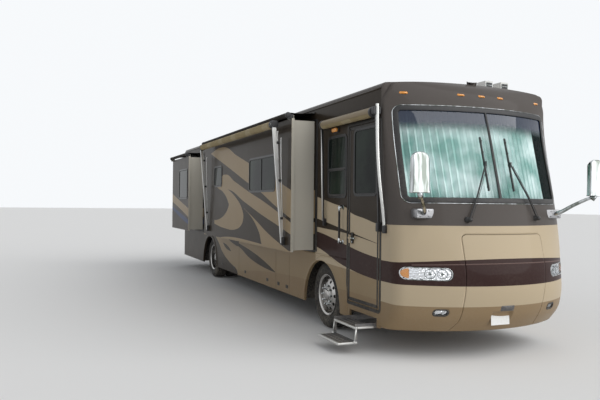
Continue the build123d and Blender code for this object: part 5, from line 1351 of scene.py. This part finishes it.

# Slide-out rooms: a rubber bulb seal round each opening, a bright edge trim on the outer flange, and a cloth topper
# that runs from the wall's rail to a spring roller on the room.
trim_cream = gloss_paint("flange trim", (0.50, 0.46, 0.38, 1), amount=0.1)
topper_rail_y, roller_out, shut_face = 1.287, 0.045, 1.330
seal_bulb = [(0.0, -0.002), (0.0, 0.006), (0.006, 0.0078), (0.014, 0.005), (0.030, 0.0035), (0.034, -0.001)]
for room_name, joint, side, face, span, low_z, high_z in (
    ("room_right_front", "right_main_room_slide", -1, right_face, (-2.045, 3.375), 1.140, 3.110),
    ("room_right_rear", "right_rear_room_slide", -1, right_face, (-5.905, -3.835), 1.140, 3.000),
    ("room_left_front", "left_main_room_slide", 1, left_face, (-2.045, 3.375), 1.140, 3.110),
    ("room_left_rear", "left_rear_room_slide", 1, left_face, (-5.905, -3.835), 1.140, 3.000),
):
    middle = (sum(span) / 2, (low_z + high_z) / 2)
    half_x, half_z = (span[1] - span[0]) / 2, (high_z - low_z) / 2
    opening = rounded_outline(half_x + 0.006, half_z + 0.006, 0.006, middle, 3)
    seal = wall_ring(opening, seal_bulb, side, half_body)
    mesh_piece(f"{room_name}_seal", [seal], gasket_black, "coach", slot="black_plastic")
    flaps = []
    for flap_rear, flap_fore in ((span[0] - 0.085, span[0] - 0.030), (span[1] + 0.030, span[1] + 0.085)):
        flap = (flap_rear, side * bedded, low_z - 0.02), (flap_fore, side * 1.2805, high_z + 0.02)
        flaps.append(soft_block(*flap, 0.002, 0.002, 2))
    mesh_piece(f"{room_name}_flaps", flaps, gasket_black, "coach", slot="black_plastic")
    edge = rounded_outline(half_x + 0.025, half_z + 0.025, 0.012, middle, 4)
    mesh_piece(
        f"{room_name}_edge", [wall_ring(edge, bead(0.006, 0.016, -0.001, -0.008), side, face)], trim_cream, room_name,
        slot="body_paint"
    )
    roller_y, roller_z = face + roller_out, high_z + 0.075
    run_x = np.linspace(span[0] + 0.034, span[1] - 0.034, 60)[:, None]
    drape = np.linspace(0, 1, 24)[None, :]
    over = np.linspace(0, 1.9 * np.pi, 40)[None, :]
    sag = 0.009 * np.sin(np.pi * drape) ** 2 * (1 + 0.3 * np.sin(2.1 * run_x))
    wall_z = roller_z + 0.055
    topper_y = side * (topper_rail_y + (roller_y - topper_rail_y) * drape)
    topper_points = points_of(run_x, topper_y, wall_z + (roller_z + 0.040 - wall_z) * drape - sag)
    wrap_reach = 0.040 - 0.002 * over / np.pi
    wrap_y = side * (roller_y + wrap_reach * np.sin(over))
    wrap_points = points_of(run_x, wrap_y, roller_z + wrap_reach * np.cos(over))
    topper = mesh_piece(f"{room_name}_topper", [(topper_points, False, False)], topper_cloth, "coach", slot="awning")
    wrap = mesh_piece(f"{room_name}_topper_wrap", [(wrap_points, False, False)], topper_cloth, room_name, slot="awning")
    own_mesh(topper)
    rail = (span[0] + 0.03, side * bedded, wall_z - 0.012), (span[1] - 0.03, side * 1.292, wall_z + 0.014)
    mesh_piece(
        f"{room_name}_topper_rail", [soft_block(*rail, 0.006, 0.004, 0)], frame_dark, "coach", slot="black_plastic"
    )
    caps = []
    for cap_x, turn in ((span[0] + 0.030, 1), (span[1] - 0.030, -1)):
        run = cap_x + turn * np.array((-0.033, -0.031, -0.024, 0.0, 0.004))
        caps.append(tube(points_of(run, side * roller_y, roller_z), (0.030, 0.040, 0.0445, 0.0445, 0.040), 26))
        arm_foot = cap_x - 0.031 * turn, side * (face - 0.040), high_z + 0.001
        arm_head = cap_x - 0.002 * turn, side * (roller_y + 0.008), roller_z + 0.01
        caps.append(soft_block(arm_foot, arm_head, 0.008, 0.004, 0))
    mesh_piece(f"{room_name}_topper_caps", caps, cap_black, room_name, slot="black_plastic")

# Entry step: two folded aluminium treads with black grit strips and bright nosings, hung on side links.
step_metal = worn_finish(
    "step metal", (0.15, 0.15, 0.155), 0.5, 0.7, amount=0.5, top=0.9, scale=260.0, middle=0.5, spread=0.2, bump=0.3,
    distance=0.0006
)
grit = worn_finish(
    "grit strip", (0.045, 0.045, 0.047), 0.95, amount=0.45, top=0.9, scale=900.0, middle=0.92, spread=0.08, bump=0.9,
    distance=0.0012
)
dress(step_metal, "entry_step")
grit_strips, nosings = [], []
for tread_far, tread_near, tread_z in ((1.560, 1.300, 0.330), (1.790, 1.530, 0.150)):
    for strip in range(3):
        strip_y = tread_near + 0.045 + 0.070 * strip
        strip_block = (4.725, -strip_y - 0.050, tread_z - 0.0005), (5.275, -strip_y, tread_z + 0.0022)
        grit_strips.append(soft_block(*strip_block, 0.008, 0.0008, 2))
    edge_block = (4.698, -tread_far - 0.006, tread_z - 0.026), (5.302, -tread_far + 0.026, tread_z + 0.004)
    nosings.append(soft_block(*edge_block, 0.007, 0.004))
    for end_x in (4.700, 5.300):
        end_low = end_x - 0.005, -tread_far + 0.004, tread_z - 0.024
        end_high = end_x + 0.005, -tread_near - 0.004, tread_z + 0.003
        nosings.append(soft_block(end_low, end_high, 0.004, 0.002, 1))
for link_x, turn in ((4.700, -1), (5.300, 1)):
    link_path = points_of(link_x + 0.009 * turn, -np.array((1.545, 1.560, 1.575)), (0.335, 0.24, 0.145))
    nosings.append(tube(link_path, 0.010, 12, (1.0, 0.0, 0.0)))
    for pin_y, pin_z in ((-1.545, 0.322), (-1.573, 0.150)):
        nosings.append(tube([(link_x - 0.004 * turn, pin_y, pin_z), (link_x + 0.022 * turn, pin_y, pin_z)], 0.014, 14))
mesh_piece("entry_step_grips", grit_strips, grit, "entry_step", slot="steel")
mesh_piece("entry_step_nosings", nosings, anodised, "entry_step", slot="steel")

# Roof units: two low air conditioners under vacuum-formed shrouds with intake slots, two vents under domed lids, and
# two horns with bright rims.
shroud = worn_finish(
    "roof plastic", (0.70, 0.69, 0.66), 0.5, amount=0.3, top=3.9, scale=180.0, middle=0.5, spread=0.12, bump=0.25,
    distance=0.0006
)
dome_u = np.linspace(0, 2 * np.pi, 72, endpoint=False)[None, :]


def dome(middle_x, foot, top, half_x, half_y, power, nose=0.0):
    """A shroud: rings of a superellipse in plan, cos and sin raised to 2/power, that step up a rounded wall and close
    to a crowned top. nose draws the front end in towards the top."""
    share = np.array([0.0, 0.0, 0.15, 0.45, 0.72, 0.88, 0.96, 1.0, 1.0, 1.0, 1.0])[:, None]
    fill = np.array([1.0, 1.0, 0.99, 0.965, 0.92, 0.86, 0.78, 0.66, 0.44, 0.22, 0.0])[:, None]
    cos_u, sin_u = np.cos(dome_u), np.sin(dome_u)
    x = middle_x + half_x * fill * np.sign(cos_u) * np.abs(cos_u) ** (2 / power) - nose * share * (1 + cos_u) / 2
    y = half_y * fill * np.sign(sin_u) * np.abs(sin_u) ** (2 / power)
    z = foot + (top - 0.012 - foot) * share + 0.012 * (1 - fill) * share
    return points_of(x, y, z), False, True


unit_parts, slot_parts, vent_parts = [], [], []
for unit_x in (0.8, -4.2):
    unit_parts.append(dome(unit_x, 3.405, 3.615, 0.525, 0.360, 4.0, 0.10))
    unit_parts.append(dome(unit_x, 3.400, 3.425, 0.545, 0.378, 5.0))
    for slot in range(9):
        slot_z = 3.450 + 0.012 * slot
        slot_block = (unit_x - 0.530, -0.26, slot_z), (unit_x - 0.500, 0.26, slot_z + 0.006)
        slot_parts.append(soft_block(*slot_block, 0.002, 0.001, 1))
for vent_x in (3.3, -1.4):
    vent_parts.append(dome(vent_x, 3.410, 3.495, 0.210, 0.210, 5.0))
    vent_parts.append(dome(vent_x, 3.400, 3.428, 0.235, 0.235, 6.0))
mesh_piece("roof_air_units", unit_parts, shroud, "coach", slot="roof_plastic", replaces="roof_units")
mesh_piece("roof_air_slots", slot_parts, cap_black, "coach", slot="black_plastic")
mesh_piece("roof_vents", vent_parts, cap_black, "coach", slot="black_plastic")
dress(shroud, "roof_horns")
horn_faces, horn_rims = [], []
for horn_y in (0.660, 0.930):
    horn_face = rounded_outline(0.052, 0.072, 0.012, (horn_y, 3.510), 5)
    horn_faces.append(wall_panel(horn_face, 1, 5.0225, axis=0))
    for bar_z in (3.475, 3.510, 3.545):
        horn_bar = (5.021, horn_y - 0.050, bar_z - 0.003), (5.0275, horn_y + 0.050, bar_z + 0.003)
        horn_rims.append(soft_block(*horn_bar, 0.002, 0.001, 1))
    horn_rims.append(wall_ring(horn_face, bead(0.007, 0.006, 0.0, 0.0), 1, 5.0225, 0))
mesh_piece("roof_horn_faces", horn_faces, cap_black, "coach", slot="black_plastic")
mesh_piece("roof_horn_rims", horn_rims, chrome, "coach", slot="chrome")

# Rear lamps: tall red lenses with an amber and a clear section in a chromed bezel each. The engine door below them has
# two flush latches.
tail_red, tail_amber, tail_clear, tail_rims = [], [], [], []
lens_edge = [(0.0, 6.3130), (0.0, 6.3165), (-0.004, 6.3205), (-0.012, 6.3215)]
for lamp_y in (-1.04, 1.04):
    for low, high, group in (
        (1.160, 1.280, tail_red), (1.065, 1.150, tail_amber), (0.975, 1.055, tail_red), (0.885, 0.965, tail_clear)
    ):
        lens = rounded_outline(0.050, (high - low) / 2, 0.014, (lamp_y, (low + high) / 2), 6)
        group.append(wall_ring(lens, lens_edge, -1, 0.0, 0, closed=False))
        group.append(wall_panel(lens - (lens - lens.mean(0)) * 0.24, -1, 6.3215, 0.001, axis=0))
    rim = rounded_outline(0.064, 0.214, 0.030, (lamp_y, 1.080), 8)
    tail_rims.append(wall_ring(rim, bead(0.012, 0.020, -0.002, 0.0), -1, 6.306, 0))
mesh_piece("tail_lenses_red", tail_red, red_lens, "coach", slot="red_lamp")
mesh_piece("tail_lenses_amber", tail_amber, amber, "coach", slot="amber")
mesh_piece("tail_lenses_clear", tail_clear, reflector, "coach", slot="lamp")
mesh_piece("tail_lamp_bezels", tail_rims, chrome, "coach", slot="chrome")
dress(gasket_black, "tail_lamps")
rear_latches = []
for latch_y in (-0.55, 0.55):
    latch = rounded_outline(0.055, 0.028, 0.012, (latch_y, 0.765), 6)
    rear_latches.append(wall_ring(latch, bead(0.006, 0.006, 0.0, 0.0), -1, rear_face + 0.0005, 0))
    rear_latches.append(wall_panel(latch, -1, rear_face + 0.0015, 0.002, axis=0))
mesh_piece("engine_door_latches", rear_latches, chrome, "engine_door", slot="chrome")
